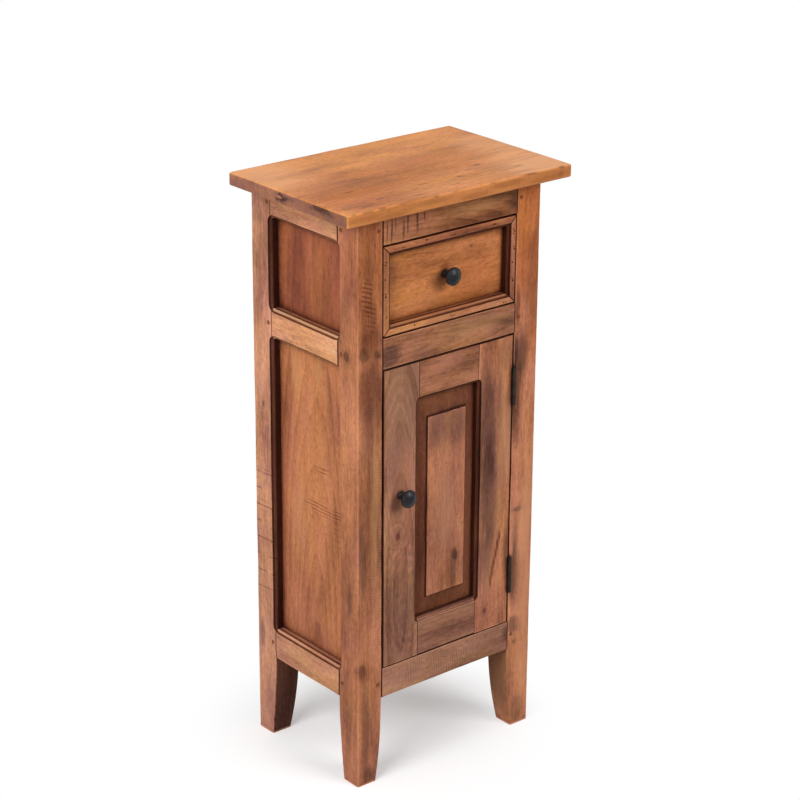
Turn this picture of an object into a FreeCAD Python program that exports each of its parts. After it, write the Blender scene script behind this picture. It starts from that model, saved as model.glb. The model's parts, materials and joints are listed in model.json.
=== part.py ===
import FreeCAD, Part
import math
import os

# Storage side table: a small cabinet on tapered legs, with one drawer over one framed door.
# Millimetres, with +X to the right, +Y to the back and +Z up. The origin is on the floor, at the
# middle of the overall box. Every piece is a separate solid in its own file.

# Carcass: outer size, and the heights that stack up from the floor to the top board
BODY_WIDTH = 300.0
BODY_DEPTH = 218.0
LEG_FREE_HEIGHT = 121.0
BOTTOM_RAIL_HEIGHT = 42.0
DOOR_OPENING_HEIGHT = 418.0
MIDDLE_RAIL_HEIGHT = 41.0
DRAWER_OPENING_HEIGHT = 121.0
TOP_RAIL_HEIGHT = 40.0

# Legs
LEG_WIDTH = 40.0
LEG_TAPER = 9.5
LEG_EDGE_ROUND = 2.0

# Top board
TOP_THICKNESS = 17.0
TOP_SIDE_OVERHANG = 33.0
TOP_FRONT_OVERHANG = 22.0
TOP_BACK_OVERHANG = 2.0
TOP_CORNER_ROUND = 4.0
TOP_UPPER_ROUND = 3.0
TOP_LOWER_ROUND = 2.0

# Rails, their tenons, and the pegs that lock the tenons
RAIL_THICKNESS = 26.0
RAIL_EDGE_ROUND = 0.8
TENON_THICKNESS = 8.0
TENON_SETBACK = 9.0
TENON_EDGE_INSET = 8.0
MORTISE_WALL = 3.0
MORTISE_END_GAP = 1.0
PEG_DIAMETER = 5.0
PEG_LENGTH = 22.0
PEG_INSET = 6.5
PEG_PROUD = 0.4

# Router moulding round the framed openings: a quirk, a quarter round and a small step
ROUTER_WIDTH = 5.0
ROUTER_QUIRK = 1.2
ROUTER_STEP = 0.6
SIDE_ROUTER_CORNER = 11.0
DOOR_ROUTER_CORNER = 7.0
ROUTER_REACH = 1.0

# Side panels, which float in grooves
SIDE_PANEL_RECESS = 13.0
SIDE_PANEL_THICKNESS = 6.0
SIDE_GROOVE_DEPTH = 7.0
PANEL_EDGE_GAP = 1.0

# Back boards, nailed into a rebate
BACK_BOARD_NAMES = ("left", "middle", "right")
BACK_BOARD_THICKNESS = 6.0
BACK_REBATE_WIDTH = 8.0
BACK_BOARD_GAP = 0.6
BACK_BOARD_BEVEL = 1.2
NAIL_HEAD_DIAMETER = 3.2
NAIL_HEAD_THICKNESS = 0.8
NAIL_DIAMETER = 1.6
NAIL_LENGTH = 16.0
NAIL_EDGE_INSET = 14.0

# Cabinet floor and the cleats under it
FLOOR_THICKNESS = 10.0
FLOOR_CLEAT_SIZE = 15.0

# Drawer runners, kickers and stops
RUNNER_WIDTH = 30.0
RUNNER_HEIGHT = 20.0
KICKER_WIDTH = 28.0
STOP_DEPTH = 10.0
STOP_HEIGHT = 12.0
STOP_GAP = 0.3

# Screws that hold the top board, sunk in deep holes in the kickers
TOP_SCREW_HEAD_DIAMETER = 8.0
TOP_SCREW_HEAD_HEIGHT = 3.0
TOP_SCREW_DIAMETER = 4.0
TOP_SCREW_BITE = 10.0
TOP_SCREW_SEAT = 18.0
TOP_SCREW_END_INSET = 25.0

# Drawer
DRAWER_TOP_GAP = 2.5
DRAWER_BOTTOM_GAP = 1.5
DRAWER_FACE_SIDE_GAP = 1.0
DRAWER_BOX_SIDE_GAP = 1.5
DRAWER_RUN_GAP = 0.3
DRAWER_FRONT_THICKNESS = 12.0
DRAWER_SIDE_THICKNESS = 10.0
DRAWER_SIDE_DROP = 4.0
DRAWER_HOUSING_DEPTH = 4.0
DRAWER_BACK_THICKNESS = 10.0
DRAWER_BACK_DROP = 6.0
DRAWER_BOTTOM_THICKNESS = 5.0
DRAWER_BOTTOM_RAISE = 8.0
DRAWER_BOTTOM_GROOVE = 4.0

# Mitred moulding on the drawer front
MOULDING_WIDTH = 13.5
MOULDING_THICKNESS = 11.5
MOULDING_OUTER_ROUND = 2.0

# Door
DOOR_THICKNESS = 20.0
DOOR_GAP = 1.5
DOOR_HINGE_GAP = 1.6
DOOR_STILE_WIDTH = 58.0
DOOR_RAIL_HEIGHT = 54.0
DOOR_TENON_LENGTH = 25.0
DOOR_TENON_EDGE_INSET = 10.0
DOOR_EDGE_ROUND = 1.0
DOOR_PANEL_RECESS = 11.0
DOOR_PANEL_EDGE = 6.0
DOOR_GROOVE_DEPTH = 7.0
MARGIN_FLAT = 2.0
MARGIN_RISE = 4.5
FIELD_RAISE = 3.0
FIELD_SIDE_MARGIN = 18.0
FIELD_END_MARGIN = 26.0
FIELD_DROP = 2.0
FIELD_BEVEL = 1.5

# Knobs and their machine screws
KNOB_DIAMETER = 24.0
KNOB_PROJECTION = 23.0
KNOB_BASE_DIAMETER = 11.0
KNOB_BASE_HEIGHT = 2.0
KNOB_RIM_HEIGHT = 15.0
KNOB_RIM_THICKNESS = 2.5
KNOB_NECK_BELLY = 2.6
KNOB_SCREW_DIAMETER = 4.0
KNOB_SCREW_BITE = 10.0
KNOB_SCREW_END_GAP = 1.0
KNOB_SCREW_HEAD_DIAMETER = 8.0
KNOB_SCREW_HEAD_HEIGHT = 2.6
DOOR_KNOB_ABOVE_MIDDLE = 31.0

# Butt hinges: leaves let into the edges, knuckles proud of the face
HINGE_HEIGHT = 51.0
HINGE_END_INSET = 71.0
HINGE_LEAF_THICKNESS = 1.2
HINGE_LEAF_DEPTH = 15.0
HINGE_LEAF_CLEARANCE = 0.3
HINGE_BARREL_DIAMETER = 5.0
HINGE_BARREL_CLEARANCE = 0.3
HINGE_KNUCKLES = 5
HINGE_KNUCKLE_GAP = 0.3
HINGE_PIN_DIAMETER = 2.4
HINGE_PIN_CLEARANCE = 0.05
HINGE_PIN_HEAD_DIAMETER = 3.8
HINGE_PIN_HEAD_HEIGHT = 1.2
HINGE_SCREW_HEAD_DIAMETER = 5.6
HINGE_SCREW_DIAMETER = 2.8
HINGE_SCREW_LENGTH = 13.0
HINGE_SCREW_SPACING = 17.0
HINGE_SCREW_SETBACK = 8.5

# Magnetic catch on the front left leg, and its strike plate on the door
CATCH_WIDTH = 13.0
CATCH_DEPTH = 14.0
CATCH_HEIGHT = 40.0
CATCH_TOP_DROP = 30.0
CATCH_AIR_GAP = 0.3
CATCH_EAR_THICKNESS = 3.0
CATCH_EAR_HEIGHT = 9.0
CATCH_SCREW_LENGTH = 14.0
STRIKE_THICKNESS = 1.2
STRIKE_WIDTH = 11.0
STRIKE_HEIGHT = 28.0

# Clearance round fasteners, how far cutting shapes run past what they cut, and how near two
# coordinates count as one
FASTENER_CLEARANCE = 0.05
OVERRUN = 2.0
TOLERANCE = 0.001

# Levels and planes worked out from the sizes above
BOTTOM_RAIL_Z = (LEG_FREE_HEIGHT, LEG_FREE_HEIGHT + BOTTOM_RAIL_HEIGHT)
MIDDLE_RAIL_Z = (
    BOTTOM_RAIL_Z[1] + DOOR_OPENING_HEIGHT,
    BOTTOM_RAIL_Z[1] + DOOR_OPENING_HEIGHT + MIDDLE_RAIL_HEIGHT,
)
TOP_RAIL_Z = (
    MIDDLE_RAIL_Z[1] + DRAWER_OPENING_HEIGHT,
    MIDDLE_RAIL_Z[1] + DRAWER_OPENING_HEIGHT + TOP_RAIL_HEIGHT,
)
TOP_UNDER_Z = TOP_RAIL_Z[1]
RAIL_LEVELS = {"top": TOP_RAIL_Z, "middle": MIDDLE_RAIL_Z, "bottom": BOTTOM_RAIL_Z}

FRONT_REACH = max(KNOB_PROJECTION, TOP_FRONT_OVERHANG)
FRONT_Y = (FRONT_REACH - BODY_DEPTH - TOP_BACK_OVERHANG) / 2
BACK_Y = FRONT_Y + BODY_DEPTH
MIDDLE_Y = (FRONT_Y + BACK_Y) / 2
LEFT_X = -BODY_WIDTH / 2
RIGHT_X = BODY_WIDTH / 2
LEG_IN_LEFT = LEFT_X + LEG_WIDTH
LEG_IN_RIGHT = RIGHT_X - LEG_WIDTH
LEG_IN_FRONT = FRONT_Y + LEG_WIDTH
LEG_IN_BACK = BACK_Y - LEG_WIDTH
RAIL_IN_LEFT = LEFT_X + RAIL_THICKNESS
RAIL_IN_FRONT = FRONT_Y + RAIL_THICKNESS
RAIL_IN_BACK = BACK_Y - RAIL_THICKNESS
TENON_LENGTH = LEG_WIDTH - TENON_SETBACK - TENON_THICKNESS - MORTISE_WALL
OVOLO_RADIUS = ROUTER_WIDTH - ROUTER_STEP

DOOR_X = (LEG_IN_LEFT + DOOR_GAP, LEG_IN_RIGHT - DOOR_HINGE_GAP)
DOOR_Z = (BOTTOM_RAIL_Z[1] + DOOR_GAP, MIDDLE_RAIL_Z[0] - DOOR_GAP)
DOOR_BACK_Y = FRONT_Y + DOOR_THICKNESS
DOOR_IN_X = (DOOR_X[0] + DOOR_STILE_WIDTH, DOOR_X[1] - DOOR_STILE_WIDTH)
DOOR_IN_Z = (DOOR_Z[0] + DOOR_RAIL_HEIGHT, DOOR_Z[1] - DOOR_RAIL_HEIGHT)
DOOR_GROOVE_Y = (FRONT_Y + DOOR_PANEL_RECESS, FRONT_Y + DOOR_PANEL_RECESS + DOOR_PANEL_EDGE)

DRAWER_X = (LEG_IN_LEFT + DRAWER_FACE_SIDE_GAP, LEG_IN_RIGHT - DRAWER_FACE_SIDE_GAP)
DRAWER_Z = (MIDDLE_RAIL_Z[1] + DRAWER_BOTTOM_GAP, TOP_RAIL_Z[0] - DRAWER_TOP_GAP)
DRAWER_PANEL_Y = FRONT_Y + MOULDING_THICKNESS
DRAWER_FRONT_BACK_Y = DRAWER_PANEL_Y + DRAWER_FRONT_THICKNESS
DRAWER_BOX_X = (LEG_IN_LEFT + DRAWER_BOX_SIDE_GAP, LEG_IN_RIGHT - DRAWER_BOX_SIDE_GAP)
DRAWER_BOX_Z = (MIDDLE_RAIL_Z[1] + DRAWER_RUN_GAP, DRAWER_Z[1] - DRAWER_SIDE_DROP)
DRAWER_END_Y = LEG_IN_BACK - STOP_DEPTH - STOP_GAP
DRAWER_FLOOR_Z = (
    DRAWER_BOX_Z[0] + DRAWER_BOTTOM_RAISE,
    DRAWER_BOX_Z[0] + DRAWER_BOTTOM_RAISE + DRAWER_BOTTOM_THICKNESS,
)

HINGE_AXIS_X = LEG_IN_RIGHT - DOOR_HINGE_GAP / 2
HINGE_AXIS_Y = FRONT_Y - HINGE_BARREL_DIAMETER / 2 - HINGE_BARREL_CLEARANCE
HINGE_MIDDLES_Z = (DOOR_Z[0] + HINGE_END_INSET, DOOR_Z[1] - HINGE_END_INSET)

DRAWER_KNOB_AT = (0, sum(DRAWER_Z) / 2)
DOOR_KNOB_AT = ((DOOR_X[0] + DOOR_IN_X[0]) / 2, sum(DOOR_Z) / 2 + DOOR_KNOB_ABOVE_MIDDLE)

DOOR_RAIL_LEVELS = ((DOOR_Z[0], DOOR_IN_Z[0]), (DOOR_IN_Z[1], DOOR_Z[1]))
BACK_LEVELS = (TOP_RAIL_Z, BOTTOM_RAIL_Z)
PEG_HOLE_DIAMETER = PEG_DIAMETER + 2 * FASTENER_CLEARANCE

CATCH_Z = (DOOR_Z[1] - CATCH_TOP_DROP - CATCH_HEIGHT, DOOR_Z[1] - CATCH_TOP_DROP)
CATCH_FRONT_Y = DOOR_BACK_Y + STRIKE_THICKNESS + CATCH_AIR_GAP
CATCH_Y = (CATCH_FRONT_Y, CATCH_FRONT_Y + CATCH_DEPTH)
STRIKE_AT = (DOOR_X[0] + STRIKE_WIDTH / 2, sum(CATCH_Z) / 2)

AXIS_X = FreeCAD.Vector(1, 0, 0)
AXIS_Y = FreeCAD.Vector(0, 1, 0)
AXIS_Z = FreeCAD.Vector(0, 0, 1)


# Basic shapes


def vec(x, y, z):
    return FreeCAD.Vector(x, y, z)


def block(x, y, z):
    """A box over the ranges x, y and z, each (low, high)."""
    return Part.makeBox(x[1] - x[0], y[1] - y[0], z[1] - z[0], vec(x[0], y[0], z[0]))


def rod(diameter, length, start, direction):
    return Part.makeCylinder(diameter / 2, length, start, direction)


def one(shapes):
    """The shapes joined into one solid, with no seams left on flat faces."""
    joined = shapes[0]
    if len(shapes) > 1:
        joined = joined.fuse(list(shapes[1:]))
    return joined.removeSplitter()


def cut(shape, tools):
    return shape.cut(Part.makeCompound(list(tools))) if tools else shape


def mirror_x(shape):
    return shape.mirror(vec(0, 0, 0), AXIS_X)


def mirror_y(shape):
    """The shape on the other side of the body's middle, front to back."""
    return shape.mirror(vec(0, MIDDLE_Y, 0), AXIS_Y)


def round_edges(shape, radius, keep):
    """Rounds each straight edge for which keep(middle point, direction) is true."""
    chosen = []
    for edge in shape.Edges:
        first, last = edge.Vertexes[0].Point, edge.Vertexes[-1].Point
        if (last - first).Length > radius and keep((first + last) / 2, (last - first).normalize()):
            chosen.append(edge)
    return shape.makeFillet(radius, chosen)


def same(a, b):
    return abs(a - b) < TOLERANCE


# Legs


def leg_outline(point):
    """The leg's outline across one inner face: straight above, then an arc in to the foot."""
    radius = (LEG_TAPER**2 + LEG_FREE_HEIGHT**2) / (2 * LEG_TAPER)
    half_turn = math.asin(LEG_FREE_HEIGHT / radius) / 2
    arc_middle = (
        LEG_WIDTH - radius * (1 - math.cos(half_turn)),
        LEG_FREE_HEIGHT - radius * math.sin(half_turn),
    )
    foot_out = point(0, 0)
    foot_in = point(LEG_WIDTH - LEG_TAPER, 0)
    knee = point(LEG_WIDTH, LEG_FREE_HEIGHT)
    top_in = point(LEG_WIDTH, TOP_UNDER_Z)
    top_out = point(0, TOP_UNDER_Z)
    edges = [
        Part.LineSegment(foot_out, foot_in).toShape(),
        Part.Arc(foot_in, point(*arc_middle), knee).toShape(),
        Part.LineSegment(knee, top_in).toShape(),
        Part.LineSegment(top_in, top_out).toShape(),
        Part.LineSegment(top_out, foot_out).toShape(),
    ]
    return Part.Face(Part.Wire(edges))


def leg_blank():
    """The front left leg before any joint is cut, its outer edges eased."""
    across = leg_outline(lambda u, z: vec(LEFT_X + u, FRONT_Y, z)).extrude(AXIS_Y * LEG_WIDTH)
    along = leg_outline(lambda u, z: vec(LEFT_X, FRONT_Y + u, z)).extrude(AXIS_X * LEG_WIDTH)
    return round_edges(across.common(along), LEG_EDGE_ROUND, lambda at, way: abs(way.z) > abs(way.x + way.y))


def front_mortise(level):
    """Room in the front left leg for the tenon of a front rail."""
    return block(
        (LEG_IN_LEFT - TENON_LENGTH - MORTISE_END_GAP, LEG_IN_LEFT + OVERRUN),
        (FRONT_Y + TENON_SETBACK, FRONT_Y + TENON_SETBACK + TENON_THICKNESS),
        (level[0] + TENON_EDGE_INSET, level[1] - TENON_EDGE_INSET),
    )


def side_mortise(level):
    """Room in the front left leg for the tenon of a left rail."""
    return block(
        (LEFT_X + TENON_SETBACK, LEFT_X + TENON_SETBACK + TENON_THICKNESS),
        (LEG_IN_FRONT - TENON_LENGTH - MORTISE_END_GAP, LEG_IN_FRONT + OVERRUN),
        (level[0] + TENON_EDGE_INSET, level[1] - TENON_EDGE_INSET),
    )


def side_groove(lower, upper):
    """Groove in the front left leg for a side panel between two rails."""
    return block(
        (LEFT_X + SIDE_PANEL_RECESS, LEFT_X + SIDE_PANEL_RECESS + SIDE_PANEL_THICKNESS),
        (LEG_IN_FRONT - SIDE_GROOVE_DEPTH, LEG_IN_FRONT + OVERRUN),
        (lower[1] - SIDE_GROOVE_DEPTH, upper[0] + SIDE_GROOVE_DEPTH),
    )


def left_side_cuts():
    """The mortises and grooves that the left frame takes out of the front left leg."""
    tools = [side_mortise(level) for level in RAIL_LEVELS.values()]
    tools += [side_groove(BOTTOM_RAIL_Z, MIDDLE_RAIL_Z), side_groove(MIDDLE_RAIL_Z, TOP_RAIL_Z)]
    return tools


def back_rebate(span):
    """The rebate behind the legs and back rails that the back boards lie in."""
    return block(
        span,
        (BACK_Y - BACK_BOARD_THICKNESS, BACK_Y + OVERRUN),
        (BOTTOM_RAIL_Z[1] - BACK_REBATE_WIDTH, TOP_RAIL_Z[0] + BACK_REBATE_WIDTH),
    )


def front_leg():
    """The front left leg: mortised for three front rails and the left frame."""
    tools = left_side_cuts() + left_moulding_cuts() + [front_mortise(z) for z in RAIL_LEVELS.values()]
    tools += front_peg_holes() + left_peg_holes()
    return cut(leg_blank(), tools)


def back_leg():
    """The back left leg, with a rebate for the back boards."""
    tools = [mirror_y(tool) for tool in left_side_cuts()] + left_moulding_cuts()
    tools += [mirror_y(front_mortise(RAIL_LEVELS[name])) for name in ("top", "bottom")]
    tools += back_peg_holes() + left_peg_holes()
    tools.append(back_rebate((LEG_IN_LEFT - BACK_REBATE_WIDTH, LEG_IN_LEFT + OVERRUN)))
    return cut(mirror_y(leg_blank()), tools)


# Router moulding


def router_cutter(width, height, corner):
    """The waste of the router moulding round an opening of that size and outer corner radius,
    centred on the origin of the plane z = 0, with the wood below it."""
    half_w = width / 2 + ROUTER_WIDTH
    half_h = height / 2 + ROUTER_WIDTH
    bow = corner * (1 - math.sqrt(1 / 2))
    edges = []
    for turn in range(4):
        spin = FreeCAD.Rotation(AXIS_Z, 90 * turn)
        reach, side = (half_w, half_h) if turn % 2 == 0 else (half_h, half_w)
        straight = [vec(reach, corner - side, 0), vec(reach, side - corner, 0)]
        bend = [vec(reach - bow, side - bow, 0), vec(reach - corner, side, 0)]
        low, high, middle, end = [spin.multVec(point) for point in straight + bend]
        edges.append(Part.LineSegment(low, high).toShape())
        edges.append(Part.Arc(high, middle, end).toShape())
    path = Part.Wire(edges)

    def section(u, w):
        return vec(width / 2 + u, 0, -w)

    deep = ROUTER_QUIRK + OVOLO_RADIUS
    lean = OVOLO_RADIUS * math.sqrt(1 / 2)
    outline = [
        Part.LineSegment(section(-ROUTER_REACH, -OVERRUN), section(ROUTER_WIDTH, -OVERRUN)),
        Part.LineSegment(section(ROUTER_WIDTH, -OVERRUN), section(ROUTER_WIDTH, ROUTER_QUIRK)),
        Part.Arc(
            section(ROUTER_WIDTH, ROUTER_QUIRK),
            section(ROUTER_WIDTH - lean, deep - lean),
            section(ROUTER_STEP, deep),
        ),
        Part.LineSegment(section(ROUTER_STEP, deep), section(-ROUTER_REACH, deep)),
        Part.LineSegment(section(-ROUTER_REACH, deep), section(-ROUTER_REACH, -OVERRUN)),
    ]
    wire = Part.Wire([curve.toShape() for curve in outline])
    return path.makePipeShell([wire], True, False)


def left_moulding_cuts():
    """Router waste on the left frame's outer face, for the lower and the upper opening."""
    outward = FreeCAD.Rotation(-AXIS_Y, AXIS_Z, -AXIS_X, "XYZ")
    tools = []
    for low, high in ((BOTTOM_RAIL_Z, MIDDLE_RAIL_Z), (MIDDLE_RAIL_Z, TOP_RAIL_Z)):
        tool = router_cutter(LEG_IN_BACK - LEG_IN_FRONT, high[0] - low[1], SIDE_ROUTER_CORNER)
        tool.Placement = FreeCAD.Placement(vec(LEFT_X, MIDDLE_Y, (low[1] + high[0]) / 2), outward)
        tools.append(tool)
    return tools


def door_moulding_cut():
    """Router waste round the door's panel opening."""
    tool = router_cutter(DOOR_IN_X[1] - DOOR_IN_X[0], DOOR_IN_Z[1] - DOOR_IN_Z[0], DOOR_ROUTER_CORNER)
    outward = FreeCAD.Rotation(AXIS_X, AXIS_Z, -AXIS_Y, "XYZ")
    middle = vec((DOOR_IN_X[0] + DOOR_IN_X[1]) / 2, FRONT_Y, (DOOR_IN_Z[0] + DOOR_IN_Z[1]) / 2)
    tool.Placement = FreeCAD.Placement(middle, outward)
    return tool


# Pegs through the tenons


def peg(diameter, start, direction):
    """A peg that starts just proud of a leg's face and runs into the leg."""
    return rod(diameter, PEG_PROUD + PEG_LENGTH, start - direction * PEG_PROUD, direction)


def front_pegs(diameter, levels):
    """Pegs of the front left leg, one through each front tenon."""
    x = LEG_IN_LEFT - PEG_INSET
    return [peg(diameter, vec(x, FRONT_Y, sum(level) / 2), AXIS_Y) for level in levels]


def left_pegs(diameter):
    """Pegs of both left legs, one through each tenon of the left rails."""
    rows = []
    for y in (LEG_IN_FRONT - PEG_INSET, LEG_IN_BACK + PEG_INSET):
        rows += [peg(diameter, vec(LEFT_X, y, sum(z) / 2), AXIS_X) for z in RAIL_LEVELS.values()]
    return rows


def front_peg_holes():
    return front_pegs(PEG_HOLE_DIAMETER, RAIL_LEVELS.values())


def back_peg_holes():
    return [mirror_y(hole) for hole in front_pegs(PEG_HOLE_DIAMETER, BACK_LEVELS)]


def left_peg_holes():
    return left_pegs(PEG_HOLE_DIAMETER)


def joint_pegs():
    left = front_pegs(PEG_DIAMETER, RAIL_LEVELS.values()) + left_pegs(PEG_DIAMETER)
    left += [mirror_y(pin) for pin in front_pegs(PEG_DIAMETER, BACK_LEVELS)]
    return Part.makeCompound(left + [mirror_x(pin) for pin in left])


# Rails


def tenoned(body, tenon_x, tenon_y, level):
    tenon = block(tenon_x, tenon_y, (level[0] + TENON_EDGE_INSET, level[1] - TENON_EDGE_INSET))
    return one([body, tenon])


def front_rail(level):
    """A rail between the front legs, flush with their faces."""
    body = block((LEG_IN_LEFT, LEG_IN_RIGHT), (FRONT_Y, RAIL_IN_FRONT), level)
    body = round_edges(body, RAIL_EDGE_ROUND, lambda at, way: abs(way.x) > 0 and same(at.y, FRONT_Y))
    tenon_x = (LEG_IN_LEFT - TENON_LENGTH, LEG_IN_RIGHT + TENON_LENGTH)
    tenon_y = (FRONT_Y + TENON_SETBACK, FRONT_Y + TENON_SETBACK + TENON_THICKNESS)
    rail = tenoned(body, tenon_x, tenon_y, level)
    holes = front_pegs(PEG_HOLE_DIAMETER, [level])
    return cut(rail, holes + [mirror_x(hole) for hole in holes])


def back_rail(level):
    """A rail between the back legs, rebated for the back boards."""
    holes = [mirror_y(hole) for hole in front_pegs(PEG_HOLE_DIAMETER, [level])]
    tools = holes + [mirror_x(hole) for hole in holes] + back_nails(FASTENER_CLEARANCE)
    tools.append(back_rebate((LEG_IN_LEFT - OVERRUN, LEG_IN_RIGHT + OVERRUN)))
    body = block((LEG_IN_LEFT, LEG_IN_RIGHT), (RAIL_IN_BACK, BACK_Y), level)
    tenon_x = (LEG_IN_LEFT - TENON_LENGTH, LEG_IN_RIGHT + TENON_LENGTH)
    tenon_y = (BACK_Y - TENON_SETBACK - TENON_THICKNESS, BACK_Y - TENON_SETBACK)
    return cut(tenoned(body, tenon_x, tenon_y, level), tools)


def left_rail(name):
    """A rail of the left frame, grooved for the panels above and below it."""
    level = RAIL_LEVELS[name]
    body = block((LEFT_X, RAIL_IN_LEFT), (LEG_IN_FRONT, LEG_IN_BACK), level)
    tenon_x = (LEFT_X + TENON_SETBACK, LEFT_X + TENON_SETBACK + TENON_THICKNESS)
    rail = tenoned(body, tenon_x, (LEG_IN_FRONT - TENON_LENGTH, LEG_IN_BACK + TENON_LENGTH), level)
    groove_x = (LEFT_X + SIDE_PANEL_RECESS, LEFT_X + SIDE_PANEL_RECESS + SIDE_PANEL_THICKNESS)
    groove_y = (LEG_IN_FRONT - OVERRUN, LEG_IN_BACK + OVERRUN)
    tools = left_moulding_cuts() + left_peg_holes()
    if name != "top":
        tools.append(block(groove_x, groove_y, (level[1] - SIDE_GROOVE_DEPTH, level[1] + OVERRUN)))
    if name != "bottom":
        tools.append(block(groove_x, groove_y, (level[0] - OVERRUN, level[0] + SIDE_GROOVE_DEPTH)))
    return cut(rail, tools)


def left_panel(lower, upper):
    """A flat panel that floats in the grooves between two left rails."""
    tongue = SIDE_GROOVE_DEPTH - PANEL_EDGE_GAP
    return block(
        (LEFT_X + SIDE_PANEL_RECESS, LEFT_X + SIDE_PANEL_RECESS + SIDE_PANEL_THICKNESS),
        (LEG_IN_FRONT - tongue, LEG_IN_BACK + tongue),
        (lower[1] - tongue, upper[0] + tongue),
    )


# Top board


def top_board():
    board = block(
        (LEFT_X - TOP_SIDE_OVERHANG, RIGHT_X + TOP_SIDE_OVERHANG),
        (FRONT_Y - TOP_FRONT_OVERHANG, BACK_Y + TOP_BACK_OVERHANG),
        (TOP_UNDER_Z, TOP_UNDER_Z + TOP_THICKNESS),
    )
    board = round_edges(board, TOP_CORNER_ROUND, lambda at, way: abs(way.z) > 0)
    for radius, level in ((TOP_UPPER_ROUND, TOP_UNDER_Z + TOP_THICKNESS), (TOP_LOWER_ROUND, TOP_UNDER_Z)):
        rim = [e for e in board.Edges if all(same(v.Z, level) for v in e.Vertexes)]
        board = board.makeFillet(radius, rim)
    return cut(board, top_screws(FASTENER_CLEARANCE))


# Back boards and their nails


def back_board_x(index):
    """(low, high) across one back board."""
    low = LEG_IN_LEFT - BACK_REBATE_WIDTH
    high = LEG_IN_RIGHT + BACK_REBATE_WIDTH
    pitch = (high - low) / len(BACK_BOARD_NAMES)
    gap = BACK_BOARD_GAP / 2
    return (low + index * pitch + gap, low + (index + 1) * pitch - gap)


def back_nails(clearance):
    """Nails through the ends of the back boards into the back rails, made larger by clearance."""
    heights = (BOTTOM_RAIL_Z[1] - BACK_REBATE_WIDTH / 2, TOP_RAIL_Z[0] + BACK_REBATE_WIDTH / 2)
    nails = []
    for index in range(len(BACK_BOARD_NAMES)):
        low, high = back_board_x(index)
        for x in (low + NAIL_EDGE_INSET, high - NAIL_EDGE_INSET):
            for z in heights:
                start = vec(x, BACK_Y, z)
                head = rod(NAIL_HEAD_DIAMETER + 2 * clearance, NAIL_HEAD_THICKNESS, start, -AXIS_Y)
                shank = rod(NAIL_DIAMETER + 2 * clearance, NAIL_LENGTH + clearance, start, -AXIS_Y)
                nails.append(one([head, shank]))
    return nails


def back_board(index):
    board = block(
        back_board_x(index),
        (BACK_Y - BACK_BOARD_THICKNESS, BACK_Y),
        (BOTTOM_RAIL_Z[1] - BACK_REBATE_WIDTH, TOP_RAIL_Z[0] + BACK_REBATE_WIDTH),
    )
    long_edges = [e for e in board.Edges if same(e.Length, board.BoundBox.ZLength)]
    board = board.makeChamfer(BACK_BOARD_BEVEL, long_edges)
    return cut(board, back_nails(FASTENER_CLEARANCE))


# Inside the carcass


def cabinet_floor():
    """The floor, flush with the top of the bottom rails and notched round the legs."""
    level = (BOTTOM_RAIL_Z[1] - FLOOR_THICKNESS, BOTTOM_RAIL_Z[1])
    wide = block((LEG_IN_LEFT, LEG_IN_RIGHT), (RAIL_IN_FRONT, RAIL_IN_BACK), level)
    deep = block((RAIL_IN_LEFT, -RAIL_IN_LEFT), (LEG_IN_FRONT, LEG_IN_BACK), level)
    return one([wide, deep])


def left_floor_cleat():
    top = BOTTOM_RAIL_Z[1] - FLOOR_THICKNESS
    return block(
        (RAIL_IN_LEFT, RAIL_IN_LEFT + FLOOR_CLEAT_SIZE),
        (LEG_IN_FRONT, LEG_IN_BACK),
        (top - FLOOR_CLEAT_SIZE, top),
    )


def left_runner():
    """The strip that the drawer's left side slides on, fixed to the left middle rail."""
    return block(
        (RAIL_IN_LEFT, RAIL_IN_LEFT + RUNNER_WIDTH),
        (LEG_IN_FRONT, LEG_IN_BACK),
        (MIDDLE_RAIL_Z[1] - RUNNER_HEIGHT, MIDDLE_RAIL_Z[1]),
    )


def left_kicker():
    """The strip over the drawer's left side, which also holds the top board's screws."""
    strip = block((RAIL_IN_LEFT, RAIL_IN_LEFT + KICKER_WIDTH), (LEG_IN_FRONT, LEG_IN_BACK), TOP_RAIL_Z)
    return cut(strip, top_screws(FASTENER_CLEARANCE) + top_screw_wells())


def left_stop():
    """The block behind the drawer's left side that leaves its front flush when it is shut."""
    return block(
        (DRAWER_BOX_X[0], DRAWER_BOX_X[0] + DRAWER_SIDE_THICKNESS),
        (LEG_IN_BACK - STOP_DEPTH, LEG_IN_BACK),
        (MIDDLE_RAIL_Z[1], MIDDLE_RAIL_Z[1] + STOP_HEIGHT),
    )


def top_screw_places():
    x = RAIL_IN_LEFT + KICKER_WIDTH / 2
    ys = (LEG_IN_FRONT + TOP_SCREW_END_INSET, LEG_IN_BACK - TOP_SCREW_END_INSET)
    return [vec(side * x, y, TOP_UNDER_Z - TOP_SCREW_SEAT) for side in (1, -1) for y in ys]


def top_screws(clearance):
    """Screws up through the kickers into the top board, made larger by clearance."""
    screws = []
    for seat in top_screw_places():
        shank_length = TOP_SCREW_SEAT + TOP_SCREW_BITE + clearance
        shank = rod(TOP_SCREW_DIAMETER + 2 * clearance, shank_length, seat, AXIS_Z)
        head = rod(TOP_SCREW_HEAD_DIAMETER + 2 * clearance, TOP_SCREW_HEAD_HEIGHT, seat, -AXIS_Z)
        screws.append(one([head, shank]))
    return screws


def top_screw_wells():
    """The deep holes that the screw heads sit in."""
    depth = TOP_RAIL_HEIGHT - TOP_SCREW_SEAT + OVERRUN
    diameter = TOP_SCREW_HEAD_DIAMETER + 2 * FASTENER_CLEARANCE
    return [rod(diameter, depth, seat, -AXIS_Z) for seat in top_screw_places()]


# Knobs


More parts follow.
